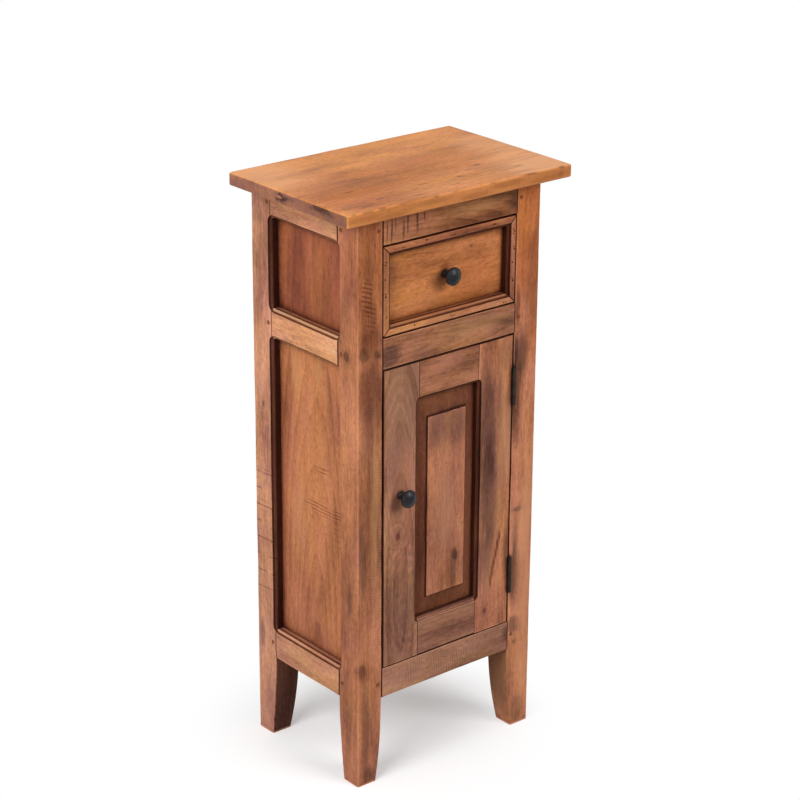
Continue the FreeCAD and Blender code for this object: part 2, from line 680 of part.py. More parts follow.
def knob(at, surface_y):
    """A turned knob on the surface at that depth, with a blind hole for its screw."""
    base = KNOB_BASE_DIAMETER / 2
    rim = KNOB_DIAMETER / 2
    rim_top = KNOB_RIM_HEIGHT + KNOB_RIM_THICKNESS

    def point(radius, out):
        return vec(at[0] + radius, surface_y - out, at[1])

    neck_middle = (
        (base + rim) / 2 - KNOB_NECK_BELLY,
        (KNOB_BASE_HEIGHT + KNOB_RIM_HEIGHT) / 2 + KNOB_NECK_BELLY,
    )
    dome = KNOB_PROJECTION - rim_top
    dome_radius = (rim**2 + dome**2) / (2 * dome)
    dome_middle = rim / 2
    dome_rise = math.sqrt(dome_radius**2 - dome_middle**2) - (dome_radius - dome)
    outline = [
        Part.LineSegment(point(0, 0), point(base, 0)),
        Part.LineSegment(point(base, 0), point(base, KNOB_BASE_HEIGHT)),
        Part.Arc(point(base, KNOB_BASE_HEIGHT), point(*neck_middle), point(rim, KNOB_RIM_HEIGHT)),
        Part.LineSegment(point(rim, KNOB_RIM_HEIGHT), point(rim, rim_top)),
        Part.Arc(point(rim, rim_top), point(dome_middle, rim_top + dome_rise), point(0, KNOB_PROJECTION)),
        Part.LineSegment(point(0, KNOB_PROJECTION), point(0, 0)),
    ]
    face = Part.Face(Part.Wire([curve.toShape() for curve in outline]))
    turned = face.revolve(point(0, 0), AXIS_Y, 360)
    depth = KNOB_SCREW_BITE + KNOB_SCREW_END_GAP
    return turned.cut(rod(KNOB_SCREW_DIAMETER + 2 * FASTENER_CLEARANCE, depth, point(0, 0), -AXIS_Y))


def knob_screw(at, surface_y, back_y):
    """The screw from the back of the wood into the knob."""
    start = vec(at[0], back_y, at[1])
    shank = rod(KNOB_SCREW_DIAMETER, back_y - surface_y + KNOB_SCREW_BITE, start, -AXIS_Y)
    head = rod(KNOB_SCREW_HEAD_DIAMETER, KNOB_SCREW_HEAD_HEIGHT, start, AXIS_Y)
    rim = [edge for edge in head.Edges if all(v.Y > back_y for v in edge.Vertexes)]
    head = head.makeFillet(KNOB_SCREW_HEAD_HEIGHT / 2, rim)
    return one([head, shank])


def knob_screw_hole(at, surface_y, back_y):
    start = vec(at[0], back_y, at[1])
    return rod(KNOB_SCREW_DIAMETER + 2 * FASTENER_CLEARANCE, back_y - surface_y, start, -AXIS_Y)


# Drawer


def drawer_front():
    """The board behind the moulding, housed for the sides and grooved for the bottom."""
    board = block(DRAWER_X, (DRAWER_PANEL_Y, DRAWER_FRONT_BACK_Y), DRAWER_Z)
    housing_y = (DRAWER_FRONT_BACK_Y - DRAWER_HOUSING_DEPTH, DRAWER_FRONT_BACK_Y + OVERRUN)
    housing_z = (DRAWER_BOX_Z[0] - OVERRUN, DRAWER_BOX_Z[1])
    left = (DRAWER_BOX_X[0], DRAWER_BOX_X[0] + DRAWER_SIDE_THICKNESS)
    tools = [block(left, housing_y, housing_z), block((-left[1], -left[0]), housing_y, housing_z)]
    groove_y = (DRAWER_FRONT_BACK_Y - DRAWER_BOTTOM_GROOVE, DRAWER_FRONT_BACK_Y + OVERRUN)
    tools.append(block((left[1], -left[1]), groove_y, DRAWER_FLOOR_Z))
    tools.append(knob_screw_hole(DRAWER_KNOB_AT, DRAWER_PANEL_Y, DRAWER_FRONT_BACK_Y))
    return cut(board, tools)


def moulding_face(point):
    """The moulding's section: a rounded outer edge, a flat band, then the router moulding."""
    band = MOULDING_WIDTH - ROUTER_WIDTH
    lip = MOULDING_OUTER_ROUND
    rim = lip * (1 - math.sqrt(1 / 2))
    deep = ROUTER_QUIRK + OVOLO_RADIUS
    lean = OVOLO_RADIUS * math.sqrt(1 / 2)
    outline = [
        Part.LineSegment(point(0, MOULDING_THICKNESS), point(0, lip)),
        Part.Arc(point(0, lip), point(rim, rim), point(lip, 0)),
        Part.LineSegment(point(lip, 0), point(band, 0)),
        Part.LineSegment(point(band, 0), point(band, ROUTER_QUIRK)),
        Part.Arc(
            point(band, ROUTER_QUIRK),
            point(band + lean, deep - lean),
            point(band + OVOLO_RADIUS, deep),
        ),
        Part.LineSegment(point(band + OVOLO_RADIUS, deep), point(MOULDING_WIDTH, deep)),
        Part.LineSegment(point(MOULDING_WIDTH, deep), point(MOULDING_WIDTH, MOULDING_THICKNESS)),
        Part.LineSegment(point(MOULDING_WIDTH, MOULDING_THICKNESS), point(0, MOULDING_THICKNESS)),
    ]
    return Part.Face(Part.Wire([curve.toShape() for curve in outline]))


def mitre_wedge(corner, along, inward):
    """The waste beyond a mitre at a corner of the drawer front."""
    size = MOULDING_WIDTH + OVERRUN
    points = [
        corner - along * OVERRUN - inward * OVERRUN,
        corner + along * size + inward * size,
        corner - along * OVERRUN + inward * size,
    ]
    wire = Part.makePolygon(points + points[:1])
    return Part.Face(wire).extrude(AXIS_Y * (MOULDING_THICKNESS + 2 * OVERRUN))


def moulding(start, along, inward, length):
    """One mitred strip: start is its outer corner on the front plane, and inward points to the panel."""
    strip = moulding_face(lambda u, w: start + inward * u + AXIS_Y * w).extrude(along * length)
    front = AXIS_Y * OVERRUN
    wedges = [
        mitre_wedge(start - front, along, inward),
        mitre_wedge(start + along * length - front, -along, inward),
    ]
    return cut(strip, wedges)


def drawer_mouldings():
    low_left = vec(DRAWER_X[0], FRONT_Y, DRAWER_Z[0])
    low_right = vec(DRAWER_X[1], FRONT_Y, DRAWER_Z[0])
    high_left = vec(DRAWER_X[0], FRONT_Y, DRAWER_Z[1])
    wide = DRAWER_X[1] - DRAWER_X[0]
    tall = DRAWER_Z[1] - DRAWER_Z[0]
    return {
        "drawer_moulding_bottom": moulding(low_left, AXIS_X, AXIS_Z, wide),
        "drawer_moulding_top": moulding(high_left, AXIS_X, -AXIS_Z, wide),
        "drawer_moulding_left": moulding(low_left, AXIS_Z, AXIS_X, tall),
        "drawer_moulding_right": moulding(low_right, AXIS_Z, -AXIS_X, tall),
    }


def drawer_side():
    """The left side, housed into the front and grooved for the bottom."""
    left = (DRAWER_BOX_X[0], DRAWER_BOX_X[0] + DRAWER_SIDE_THICKNESS)
    side = block(left, (DRAWER_FRONT_BACK_Y - DRAWER_HOUSING_DEPTH, DRAWER_END_Y), DRAWER_BOX_Z)
    groove_y = (DRAWER_FRONT_BACK_Y - DRAWER_HOUSING_DEPTH - OVERRUN, DRAWER_END_Y + OVERRUN)
    return cut(side, [block((left[1] - DRAWER_BOTTOM_GROOVE, left[1] + OVERRUN), groove_y, DRAWER_FLOOR_Z)])


def drawer_back():
    """The back, between the sides and on top of the bottom."""
    inner = DRAWER_BOX_X[0] + DRAWER_SIDE_THICKNESS
    return block(
        (inner, -inner),
        (DRAWER_END_Y - DRAWER_BACK_THICKNESS, DRAWER_END_Y),
        (DRAWER_FLOOR_Z[1], DRAWER_BOX_Z[1] - DRAWER_BACK_DROP),
    )


def drawer_bottom():
    """The bottom, in the grooves of the front and the sides."""
    inner = DRAWER_BOX_X[0] + DRAWER_SIDE_THICKNESS
    panel = block((inner, -inner), (DRAWER_FRONT_BACK_Y - DRAWER_BOTTOM_GROOVE, DRAWER_END_Y), DRAWER_FLOOR_Z)
    edge = inner - DRAWER_BOTTOM_GROOVE
    return one([panel, block((edge, -edge), (DRAWER_FRONT_BACK_Y, DRAWER_END_Y), DRAWER_FLOOR_Z)])


# Door


def lock_stile():
    """The left stile, which carries the knob and the strike plate."""
    return door_stile(
        (DOOR_X[0], DOOR_IN_X[0]),
        [
            knob_screw_hole(DOOR_KNOB_AT, FRONT_Y, DOOR_BACK_Y),
            strike_screw(FASTENER_CLEARANCE),
        ],
    )


def hinge_stile():
    """The right stile, let in for the hinge leaves."""
    leaves = [leaf_seat(-1, middle) for middle in HINGE_MIDDLES_Z]
    return door_stile((DOOR_IN_X[1], DOOR_X[1]), leaves + leaf_screws(-1, FASTENER_CLEARANCE))


def door_stile(span, tools):
    stile = block(span, (FRONT_Y, DOOR_BACK_Y), DOOR_Z)
    outer = DOOR_X[0] if same(span[0], DOOR_X[0]) else DOOR_X[1]
    stile = round_edges(
        stile,
        DOOR_EDGE_ROUND,
        lambda at, way: abs(way.z) > 0 and same(at.x, outer) and same(at.y, FRONT_Y),
    )
    groove = block(
        (DOOR_IN_X[0] - DOOR_GROOVE_DEPTH, DOOR_IN_X[1] + DOOR_GROOVE_DEPTH),
        DOOR_GROOVE_Y,
        (DOOR_IN_Z[0] - DOOR_GROOVE_DEPTH, DOOR_IN_Z[1] + DOOR_GROOVE_DEPTH),
    )
    mortises = [door_tenon(level, MORTISE_END_GAP) for level in DOOR_RAIL_LEVELS]
    return cut(stile, [groove, door_moulding_cut()] + mortises + tools)


def door_tenon(level, extra):
    """The tenons of a door rail, as one bar through it, each longer by extra."""
    reach = DOOR_TENON_LENGTH + extra
    return block(
        (DOOR_IN_X[0] - reach, DOOR_IN_X[1] + reach),
        DOOR_GROOVE_Y,
        (level[0] + DOOR_TENON_EDGE_INSET, level[1] - DOOR_TENON_EDGE_INSET),
    )


def door_rail(level):
    rail = block(DOOR_IN_X, (FRONT_Y, DOOR_BACK_Y), level)
    outer = level[0] if same(level[0], DOOR_Z[0]) else level[1]
    rail = round_edges(
        rail,
        DOOR_EDGE_ROUND,
        lambda at, way: abs(way.x) > 0 and same(at.z, outer) and same(at.y, FRONT_Y),
    )
    rail = one([rail, door_tenon(level, 0)])
    groove = block(
        (DOOR_IN_X[0] - OVERRUN, DOOR_IN_X[1] + OVERRUN),
        DOOR_GROOVE_Y,
        (DOOR_IN_Z[0] - DOOR_GROOVE_DEPTH, DOOR_IN_Z[1] + DOOR_GROOVE_DEPTH),
    )
    return cut(rail, [groove, door_moulding_cut()])


def door_panel():
    """The raised panel: a thin edge in the grooves, margins that slope up, and a bevelled field."""
    tongue = DOOR_GROOVE_DEPTH - PANEL_EDGE_GAP
    plate = block(
        (DOOR_IN_X[0] - tongue, DOOR_IN_X[1] + tongue),
        DOOR_GROOVE_Y,
        (DOOR_IN_Z[0] - tongue, DOOR_IN_Z[1] + tongue),
    )
    field_x = (DOOR_IN_X[0] + FIELD_SIDE_MARGIN, DOOR_IN_X[1] - FIELD_SIDE_MARGIN)
    field_z = (DOOR_IN_Z[0] + FIELD_END_MARGIN - FIELD_DROP, DOOR_IN_Z[1] - FIELD_END_MARGIN - FIELD_DROP)

    def wire(x, z, inset, y):
        left, right = x[0] + inset, x[1] - inset
        low, high = z[0] + inset, z[1] - inset
        corners = [vec(left, y, low), vec(right, y, low), vec(right, y, high), vec(left, y, high)]
        return Part.makePolygon(corners + corners[:1])

    base_y = DOOR_GROOVE_Y[0]
    foot_y = base_y - MARGIN_RISE
    edge = wire(DOOR_IN_X, DOOR_IN_Z, MARGIN_FLAT, base_y)
    foot = wire(field_x, field_z, 0, foot_y)
    face = wire(field_x, field_z, FIELD_BEVEL, foot_y - FIELD_RAISE)
    return one([plate, Part.makeLoft([edge, foot], True, True), Part.makeLoft([foot, face], True, True)])


# Hinges: side is +1 for the leg's leaf and -1 for the door's leaf


def leaf_x(side):
    near = HINGE_AXIS_X + side * HINGE_LEAF_CLEARANCE / 2
    far = near + side * HINGE_LEAF_THICKNESS
    return (min(near, far), max(near, far))


def leaf_seat(side, middle):
    """The shallow recess that a leaf lies in."""
    low, high = leaf_x(side)
    span = (HINGE_AXIS_X, high) if side > 0 else (low, HINGE_AXIS_X)
    tall = (middle - HINGE_HEIGHT / 2, middle + HINGE_HEIGHT / 2)
    return block(span, (FRONT_Y - OVERRUN, FRONT_Y + HINGE_LEAF_DEPTH), tall)


def knuckles(side, middle):
    """(low, high) of each knuckle that belongs to this leaf."""
    pitch = HINGE_HEIGHT / HINGE_KNUCKLES
    first = 0 if side > 0 else 1
    base = middle - HINGE_HEIGHT / 2
    rows = []
    for index in range(first, HINGE_KNUCKLES, 2):
        low = base + index * pitch + (HINGE_KNUCKLE_GAP / 2 if index > 0 else 0)
        last = index == HINGE_KNUCKLES - 1
        high = base + (index + 1) * pitch - (0 if last else HINGE_KNUCKLE_GAP / 2)
        rows.append((low, high))
    return rows


def hinge_leaf(side, middle):
    """A leaf with its knuckles, bored for the pin and drilled for its screws."""
    thick = leaf_x(side)
    radius = HINGE_BARREL_DIAMETER / 2
    clear_y = HINGE_AXIS_Y + radius + HINGE_BARREL_CLEARANCE
    tall = (middle - HINGE_HEIGHT / 2, middle + HINGE_HEIGHT / 2)
    solids = [block(thick, (clear_y, FRONT_Y + HINGE_LEAF_DEPTH), tall)]
    for low, high in knuckles(side, middle):
        start = vec(HINGE_AXIS_X, HINGE_AXIS_Y, low)
        solids.append(rod(HINGE_BARREL_DIAMETER, high - low, start, AXIS_Z))
        solids.append(block(thick, (HINGE_AXIS_Y, clear_y), (low, high)))
    bore = HINGE_PIN_DIAMETER + (2 * HINGE_PIN_CLEARANCE if side < 0 else 0)
    start = vec(HINGE_AXIS_X, HINGE_AXIS_Y, tall[0] - OVERRUN)
    tools = [rod(bore, HINGE_HEIGHT + 2 * OVERRUN, start, AXIS_Z)]
    return cut(one(solids), tools + leaf_screws(side, FASTENER_CLEARANCE))


def small_screw(start, way, sink, length, clearance):
    """A countersunk screw whose head is sink deep, made larger by clearance."""
    head_radius = HINGE_SCREW_HEAD_DIAMETER / 2 + clearance
    shank_radius = HINGE_SCREW_DIAMETER / 2 + clearance
    head = Part.makeCone(head_radius, shank_radius, sink, start, way)
    return one([head, rod(2 * shank_radius, length + clearance, start, way)])


def hinge_leaves(side):
    return Part.makeCompound([hinge_leaf(side, middle) for middle in HINGE_MIDDLES_Z])


def hinge_pins():
    pins = []
    for middle in HINGE_MIDDLES_Z:
        low = vec(HINGE_AXIS_X, HINGE_AXIS_Y, middle - HINGE_HEIGHT / 2)
        high = vec(HINGE_AXIS_X, HINGE_AXIS_Y, middle + HINGE_HEIGHT / 2)
        pin = rod(HINGE_PIN_DIAMETER, HINGE_HEIGHT, low, AXIS_Z)
        heads = [
            rod(HINGE_PIN_HEAD_DIAMETER, HINGE_PIN_HEAD_HEIGHT, high, AXIS_Z),
            rod(HINGE_PIN_HEAD_DIAMETER, HINGE_PIN_HEAD_HEIGHT, low, -AXIS_Z),
        ]
        pins.append(one([pin] + heads))
    return Part.makeCompound(pins)


def leaf_screws(side, clearance):
    """Countersunk screws of one leaf on both hinges, made larger by clearance."""
    low, high = leaf_x(side)
    outer = low if side > 0 else high
    way = AXIS_X * side
    screws = []
    for middle in HINGE_MIDDLES_Z:
        for step in (-1, 0, 1):
            start = vec(outer, FRONT_Y + HINGE_SCREW_SETBACK, middle + step * HINGE_SCREW_SPACING)
            screws.append(small_screw(start, way, HINGE_LEAF_THICKNESS, HINGE_SCREW_LENGTH, clearance))
    return screws


# Magnetic catch


def catch_screws(clearance):
    """Screws through the catch's ears into the leg, made larger by clearance."""
    y = sum(CATCH_Y) / 2
    screws = []
    for z in (CATCH_Z[0] + CATCH_EAR_HEIGHT / 2, CATCH_Z[1] - CATCH_EAR_HEIGHT / 2):
        start = vec(LEG_IN_LEFT + CATCH_EAR_THICKNESS, y, z)
        screws.append(small_screw(start, -AXIS_X, CATCH_EAR_THICKNESS / 2, CATCH_SCREW_LENGTH, clearance))
    return screws


def magnetic_catch():
    """The catch's housing, with a screw ear at each end."""
    ear = block((LEG_IN_LEFT, LEG_IN_LEFT + CATCH_EAR_THICKNESS), CATCH_Y, CATCH_Z)
    middle = (CATCH_Z[0] + CATCH_EAR_HEIGHT, CATCH_Z[1] - CATCH_EAR_HEIGHT)
    housing = block((LEG_IN_LEFT, LEG_IN_LEFT + CATCH_WIDTH), CATCH_Y, middle)
    return cut(one([ear, housing]), catch_screws(FASTENER_CLEARANCE))


def strike_screw(clearance):
    start = vec(STRIKE_AT[0], DOOR_BACK_Y + STRIKE_THICKNESS, STRIKE_AT[1])
    return small_screw(start, -AXIS_Y, STRIKE_THICKNESS, HINGE_SCREW_LENGTH, clearance)


def strike_plate():
    plate = block(
        (STRIKE_AT[0] - STRIKE_WIDTH / 2, STRIKE_AT[0] + STRIKE_WIDTH / 2),
        (DOOR_BACK_Y, DOOR_BACK_Y + STRIKE_THICKNESS),
        (STRIKE_AT[1] - STRIKE_HEIGHT / 2, STRIKE_AT[1] + STRIKE_HEIGHT / 2),
    )
    return cut(plate, [strike_screw(FASTENER_CLEARANCE)])


# All pieces


def carcass():
    leg_front = front_leg()
    leg_back = back_leg()
    hinge_cuts = [leaf_seat(1, middle) for middle in HINGE_MIDDLES_Z] + leaf_screws(1, FASTENER_CLEARANCE)
    pieces = {
        "top_board": top_board(),
        "front_left_leg": cut(leg_front, catch_screws(FASTENER_CLEARANCE)),
        "front_right_leg": cut(mirror_x(leg_front), hinge_cuts),
        "back_left_leg": leg_back,
        "back_right_leg": mirror_x(leg_back),
        "back_top_rail": back_rail(TOP_RAIL_Z),
        "back_bottom_rail": back_rail(BOTTOM_RAIL_Z),
        "cabinet_floor": cabinet_floor(),
        "joint_pegs": joint_pegs(),
        "top_screws": Part.makeCompound(top_screws(0)),
        "back_nails": Part.makeCompound(back_nails(0)),
        "hinge_leg_leaves": hinge_leaves(1),
        "hinge_pins": hinge_pins(),
        "hinge_leg_screws": Part.makeCompound(leaf_screws(1, 0)),
        "magnetic_catch": magnetic_catch(),
        "catch_screws": Part.makeCompound(catch_screws(0)),
    }
    for name, level in RAIL_LEVELS.items():
        pieces[f"front_{name}_rail"] = front_rail(level)
    for index, name in enumerate(BACK_BOARD_NAMES):
        pieces[f"back_board_{name}"] = back_board(index)
    left = {f"{name}_rail": left_rail(name) for name in RAIL_LEVELS}
    left["upper_panel"] = left_panel(MIDDLE_RAIL_Z, TOP_RAIL_Z)
    left["lower_panel"] = left_panel(BOTTOM_RAIL_Z, MIDDLE_RAIL_Z)
    left["floor_cleat"] = left_floor_cleat()
    left["drawer_runner"] = left_runner()
    left["kicker"] = left_kicker()
    for name, shape in left.items():
        pieces[f"left_{name}"] = shape
        pieces[f"right_{name}"] = mirror_x(shape)
    pieces["drawer_stops"] = Part.makeCompound([left_stop(), mirror_x(left_stop())])
    return pieces


def drawer():
    side = drawer_side()
    pieces = {
        "drawer_front": drawer_front(),
        "drawer_left_side": side,
        "drawer_right_side": mirror_x(side),
        "drawer_back": drawer_back(),
        "drawer_bottom": drawer_bottom(),
        "drawer_knob": knob(DRAWER_KNOB_AT, DRAWER_PANEL_Y),
        "drawer_knob_screw": knob_screw(DRAWER_KNOB_AT, DRAWER_PANEL_Y, DRAWER_FRONT_BACK_Y),
    }
    pieces.update(drawer_mouldings())
    return pieces


def door():
    return {
        "door_lock_stile": lock_stile(),
        "door_hinge_stile": hinge_stile(),
        "door_bottom_rail": door_rail(DOOR_RAIL_LEVELS[0]),
        "door_top_rail": door_rail(DOOR_RAIL_LEVELS[1]),
        "door_panel": door_panel(),
        "door_knob": knob(DOOR_KNOB_AT, FRONT_Y),
        "door_knob_screw": knob_screw(DOOR_KNOB_AT, FRONT_Y, DOOR_BACK_Y),
        "hinge_door_leaves": hinge_leaves(-1),
        "door_screws": Part.makeCompound(leaf_screws(-1, 0) + [strike_screw(0)]),
        "strike_plate": strike_plate(),
    }


def main():
    os.makedirs("parts", exist_ok=True)
    for pieces in (carcass(), drawer(), door()):
        for name, shape in pieces.items():
            shape.exportStep(f"parts/{name}.step")


main()
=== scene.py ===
import json
import math
import random
from dataclasses import dataclass
from functools import partial

import bmesh
import bpy
from mathutils import Matrix, Vector, noise

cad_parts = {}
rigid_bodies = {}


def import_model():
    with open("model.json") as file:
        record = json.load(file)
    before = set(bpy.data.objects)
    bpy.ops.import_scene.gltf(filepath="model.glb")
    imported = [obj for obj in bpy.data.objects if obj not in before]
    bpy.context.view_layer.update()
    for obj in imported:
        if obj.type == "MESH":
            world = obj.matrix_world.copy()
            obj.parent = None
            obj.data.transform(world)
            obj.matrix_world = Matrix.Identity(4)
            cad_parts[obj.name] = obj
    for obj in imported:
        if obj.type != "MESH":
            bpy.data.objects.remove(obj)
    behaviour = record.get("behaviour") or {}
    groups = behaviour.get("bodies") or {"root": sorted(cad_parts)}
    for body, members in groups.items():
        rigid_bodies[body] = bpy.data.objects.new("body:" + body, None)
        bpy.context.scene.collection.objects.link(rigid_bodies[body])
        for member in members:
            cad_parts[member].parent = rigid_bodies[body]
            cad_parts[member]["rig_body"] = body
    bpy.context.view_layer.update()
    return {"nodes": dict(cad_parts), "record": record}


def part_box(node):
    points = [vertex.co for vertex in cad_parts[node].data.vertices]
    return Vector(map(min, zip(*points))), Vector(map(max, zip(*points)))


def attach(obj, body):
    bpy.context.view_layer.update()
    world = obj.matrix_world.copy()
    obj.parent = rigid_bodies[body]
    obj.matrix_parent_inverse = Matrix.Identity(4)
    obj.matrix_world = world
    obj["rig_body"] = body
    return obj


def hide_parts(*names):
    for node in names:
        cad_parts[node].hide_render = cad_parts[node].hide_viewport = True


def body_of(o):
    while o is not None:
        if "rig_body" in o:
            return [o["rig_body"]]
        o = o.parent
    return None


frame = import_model()

MM = 0.001
AXES = {"x": 0, "y": 1, "z": 2}
SLOT_OF = {row["node"]: row["material_slot"] for row in frame["record"]["subparts"]}

# Camera: pose and lens fitted to the straight edges of the table
IMAGE_PIXELS = 800
FOCAL_PIXELS = 2425.3
SENSOR_WIDTH = 36.0
CAMERA_YAW = 0.690
CAMERA_PITCH = 0.375
CAMERA_ROLL = 0.006
CAMERA_DISTANCE = 3.1967
AIM_HEIGHT = 0.4807
AIM_BACK = 0.0105
AIM_RIGHT = 0.0062

# Lights: place, aim, side of the square lamp and power in watts
KEY_LAMP = ((-2.6, -0.7, 2.1), (0.0, 0.0, 0.45), 1.8, 77.0)
FRONT_LAMP = ((1.1, -3.0, 2.5), (0.0, 0.0, 0.45), 2.0, 68.0)
TOP_LAMP = ((-0.3, 0.3, 3.0), (0.0, 0.0, 0.4), 2.2, 17.0)
WORLD_LIGHT = 0.12

# Floor: pale, white to the eye where nothing shades it, with the shadow kept near the feet
FLOOR_SIZE = 14.0
FLOOR_COLOUR = (0.85, 0.845, 0.85)
FLOOR_BOUNCE = 0.45
FLOOR_LIFT = 0.28
SHADOW_CENTRE = (-0.04, 0.0, 0.0)
SHADOW_REACH = (0.09, 0.28)

# Colours, linear
OLIVE = (0.215, 0.118, 0.060)
STRAW = (0.66, 0.34, 0.14)
END_GRAIN = (0.222, 0.106, 0.096)

# Shares of the wood's colour left under glaze and painted shade, and in stains, burns, figure, pores and
# washes, two of which are painted shade
GLAZE_AND_SHADE = (0.075, 0.048, 0.044)
STAIN = (0.33, 0.345, 0.45)
BURN = (0.14, 0.148, 0.225)
SEPIA = (0.50, 0.42, 0.44)
GASH = (0.27, 0.19, 0.19)
PALE_FIGURE = (1.26, 1.24, 1.20)
PORE = (0.45, 0.40, 0.41)
TAWNY = (0.84, 0.74, 0.60)
PALE_TAWNY = (0.86, 0.77, 0.64)
RUSSET = (0.80, 0.68, 0.62)
AMBER_WASH = (0.95, 0.84, 0.70)
# Painted shade over the front left leg's side face
SIDE_SHADE = (0.93, 0.92, 0.94)
COOL_WASH = (0.80, 0.78, 0.86)
MAUVE_WASH = (0.80, 0.70, 0.76)
BLUE_WASH = (0.94, 0.93, 1.0)
# Painted shadow under the cabinet, on the back left foot's front face
FOOT_SHADOW = (0.24, 0.20, 0.20)
YELLOW_WASH = (0.92, 0.75, 0.44)
GOLD_WASH = (0.84, 0.76, 0.62)
ROSE_WASH = (0.90, 0.82, 0.82)
DUSK_WASH = (0.82, 0.78, 0.82)
UMBER_WASH = (0.86, 0.78, 0.70)
LILAC_WASH = (0.76, 0.71, 0.80)
KNOT_SHARE = (0.42, 0.30, 0.40)

# Tones of the boards and fittings, and the most light that any may throw back
HONEY = (0.585, 0.232, 0.076)
PALE_HONEY = (0.68, 0.255, 0.080)
GOLD = (0.63, 0.240, 0.083)
AMBER = (0.535, 0.207, 0.096)
# Red-brown of the upper panels, darkened in part as painted shade from the top above them
RED_BROWN = (0.36, 0.116, 0.055)
CHESTNUT = (0.53, 0.212, 0.108)
COPPER = (0.56, 0.232, 0.122)
ORANGE = (0.62, 0.252, 0.134)
SAND = (0.65, 0.310, 0.176)
PALE_SAND = (0.83, 0.408, 0.218)
ROSE_SAND = (0.60, 0.284, 0.172)
OLIVE_BROWN = (0.395, 0.186, 0.114)
DRAB = (0.425, 0.185, 0.092)
UMBER = (0.39, 0.162, 0.088)
DUN = (0.45, 0.220, 0.135)
TAN = (0.49, 0.203, 0.092)
BARE = (0.46, 0.270, 0.135)
# Painted sheen, pale as a reflection, laid on the top
SHEEN = (0.86, 0.42, 0.20)
PALE_ORANGE = (0.76, 0.335, 0.175)
DULL_ORANGE = (0.74, 0.320, 0.165)
PEG_BROWN = (0.26, 0.095, 0.042)
IRON = (0.011, 0.011, 0.013)
IRON_WEAR = (0.06, 0.058, 0.056)
OLD_IRON = (0.022, 0.014, 0.011)
RUST = (0.075, 0.040, 0.025)
STEEL = (0.36, 0.35, 0.33)
STEEL_WEAR = (0.20, 0.13, 0.09)
CATCH_BROWN = (0.30, 0.19, 0.11)
CATCH_WEAR = (0.22, 0.13, 0.07)
PATINA_SHARE = (1.7, 1.6, 1.55)
BRIGHTEST = 0.9

# How a tone spreads into dark and pale wood: place on the ramp, then shares of the tone
TONE_STOPS = (
    (0.00, (0.40, 0.36, 0.37)),
    (0.25, (0.68, 0.64, 0.65)),
    (0.50, (1.00, 1.00, 1.00)),
    (1.00, (1.48, 1.58, 1.62)),
)
GOLD_SHARE = (1.04, 1.01, 0.86)
PLUM_SHARE = (0.98, 0.90, 0.97)
SPECKLE = 0.62
HUE_SPECKLE = (0.10, 0.13, 0.30)
# Share of the tone on rubbed edges and on painted highlights
RUB_AND_HIGHLIGHT_SHARE = (1.40, 1.50, 1.62)

# Shoulder round the door's raised field and its sloping margin, by depth from the field
SHOULDER_DEPTH = 3.0 * MM
PANEL_DEPTH = 12.0 * MM

# Router moulding on the frames, by depth from the face, and the line where a rail meets its post
QUIRK_DEPTH = 1.2 * MM
OVOLO_DEPTH = 5.6 * MM
MOULDING_DEPTH = 9.0 * MM
MOULDING_REACH = 6.4 * MM
# Below this share of glaze and shade, a moulding gets a painted highlight on its crest or lip
PALE_MOULDING = 0.3
JOINT_LINE = 1.3 * MM
EDGE_LINE = 1.7 * MM
FOOT_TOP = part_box("left_bottom_rail")[0].z

# Wear of the boards
GRID_STEP = 9 * MM
WAVE_HEIGHT = 0.45 * MM
WAVE_LENGTH = 70 * MM
WAVE_SEED = 3
EDGE_WEAR = 0.55 * MM
EDGE_REACH = 4.0 * MM
RUB_LENGTH = 16 * MM
RUB_STEP = (7.1, 3.3, 5.7)
FLOOR_FADE = 30 * MM
SHARP_ANGLE = math.radians(38)
FLAT_ANGLE = math.radians(0.5)
WELD = MM / 1000
WORM_RADIUS = (1.0 * MM, 1.6 * MM)
WORM_DEPTH = 3.5 * MM
WORM_STEP = 3.2 * MM
WORM_BAND = 4.5 * MM
WORM_SPREAD = (0.7, 1.3)
WORM_TAPER = 0.6
WORM_SIDES = 12

# Noises in wood and metal: waves a metre along each axis, detail and roughness
SWAY = ((5, 12, 12), 2.0, 0.55)
STREAK = ((9, 72, 72), 5.0, 0.6)
FIBRE = ((70, 420, 420), 2.0, 0.55)
SPECKLES = ((150, 220, 220), 3.0, 0.6)
TINGE = ((90, 130, 130), 3.0, 0.6)
HUE = ((9, 24, 24), 4.0, 0.6)
CLOUD = ((6, 24, 24), 2.0, 0.55)
BRUISE = ((5, 30, 30), 3.0, 0.55)
PORES = ((120, 700, 700), 1.0, 0.55)
RAG = ((34, 34, 34), 4.0, 0.6)
BREAKS = ((45, 45, 45), 2.0, 0.55)
PITS = ((420, 420, 420), 4.0, 0.55)
PATINA = ((90, 90, 90), 3.0, 0.55)

# How far noises push places aside, and the steps from one board's wood to the next
NOISE_MIDDLE = (0.5,) * 3
SWAY_REACH = (0, 22 * MM, 22 * MM)
NEAR_REACH = (5 * MM,) * 3
RAG_REACH = (24 * MM,) * 3
BOARD_STEP = (1.3, 0.7, 2.1)
RING_STEP = 3.7

# Growth rings: their wobble and stretch along the board, late wood, and how knots push them aside
RING_WOBBLE = {"Distortion": 9.0, "Detail": 2.0, "Detail Scale": 0.35, "Detail Roughness": 0.55}
RING_STRETCH = 0.13
WAVE_RADIANS = 20
LATE_POWER = 2.2
LATE_MEAN = 0.3
RING_END = (1.0, 0.9)
KNOT_REACH = 2.2
KNOT_PUSH = 22.0

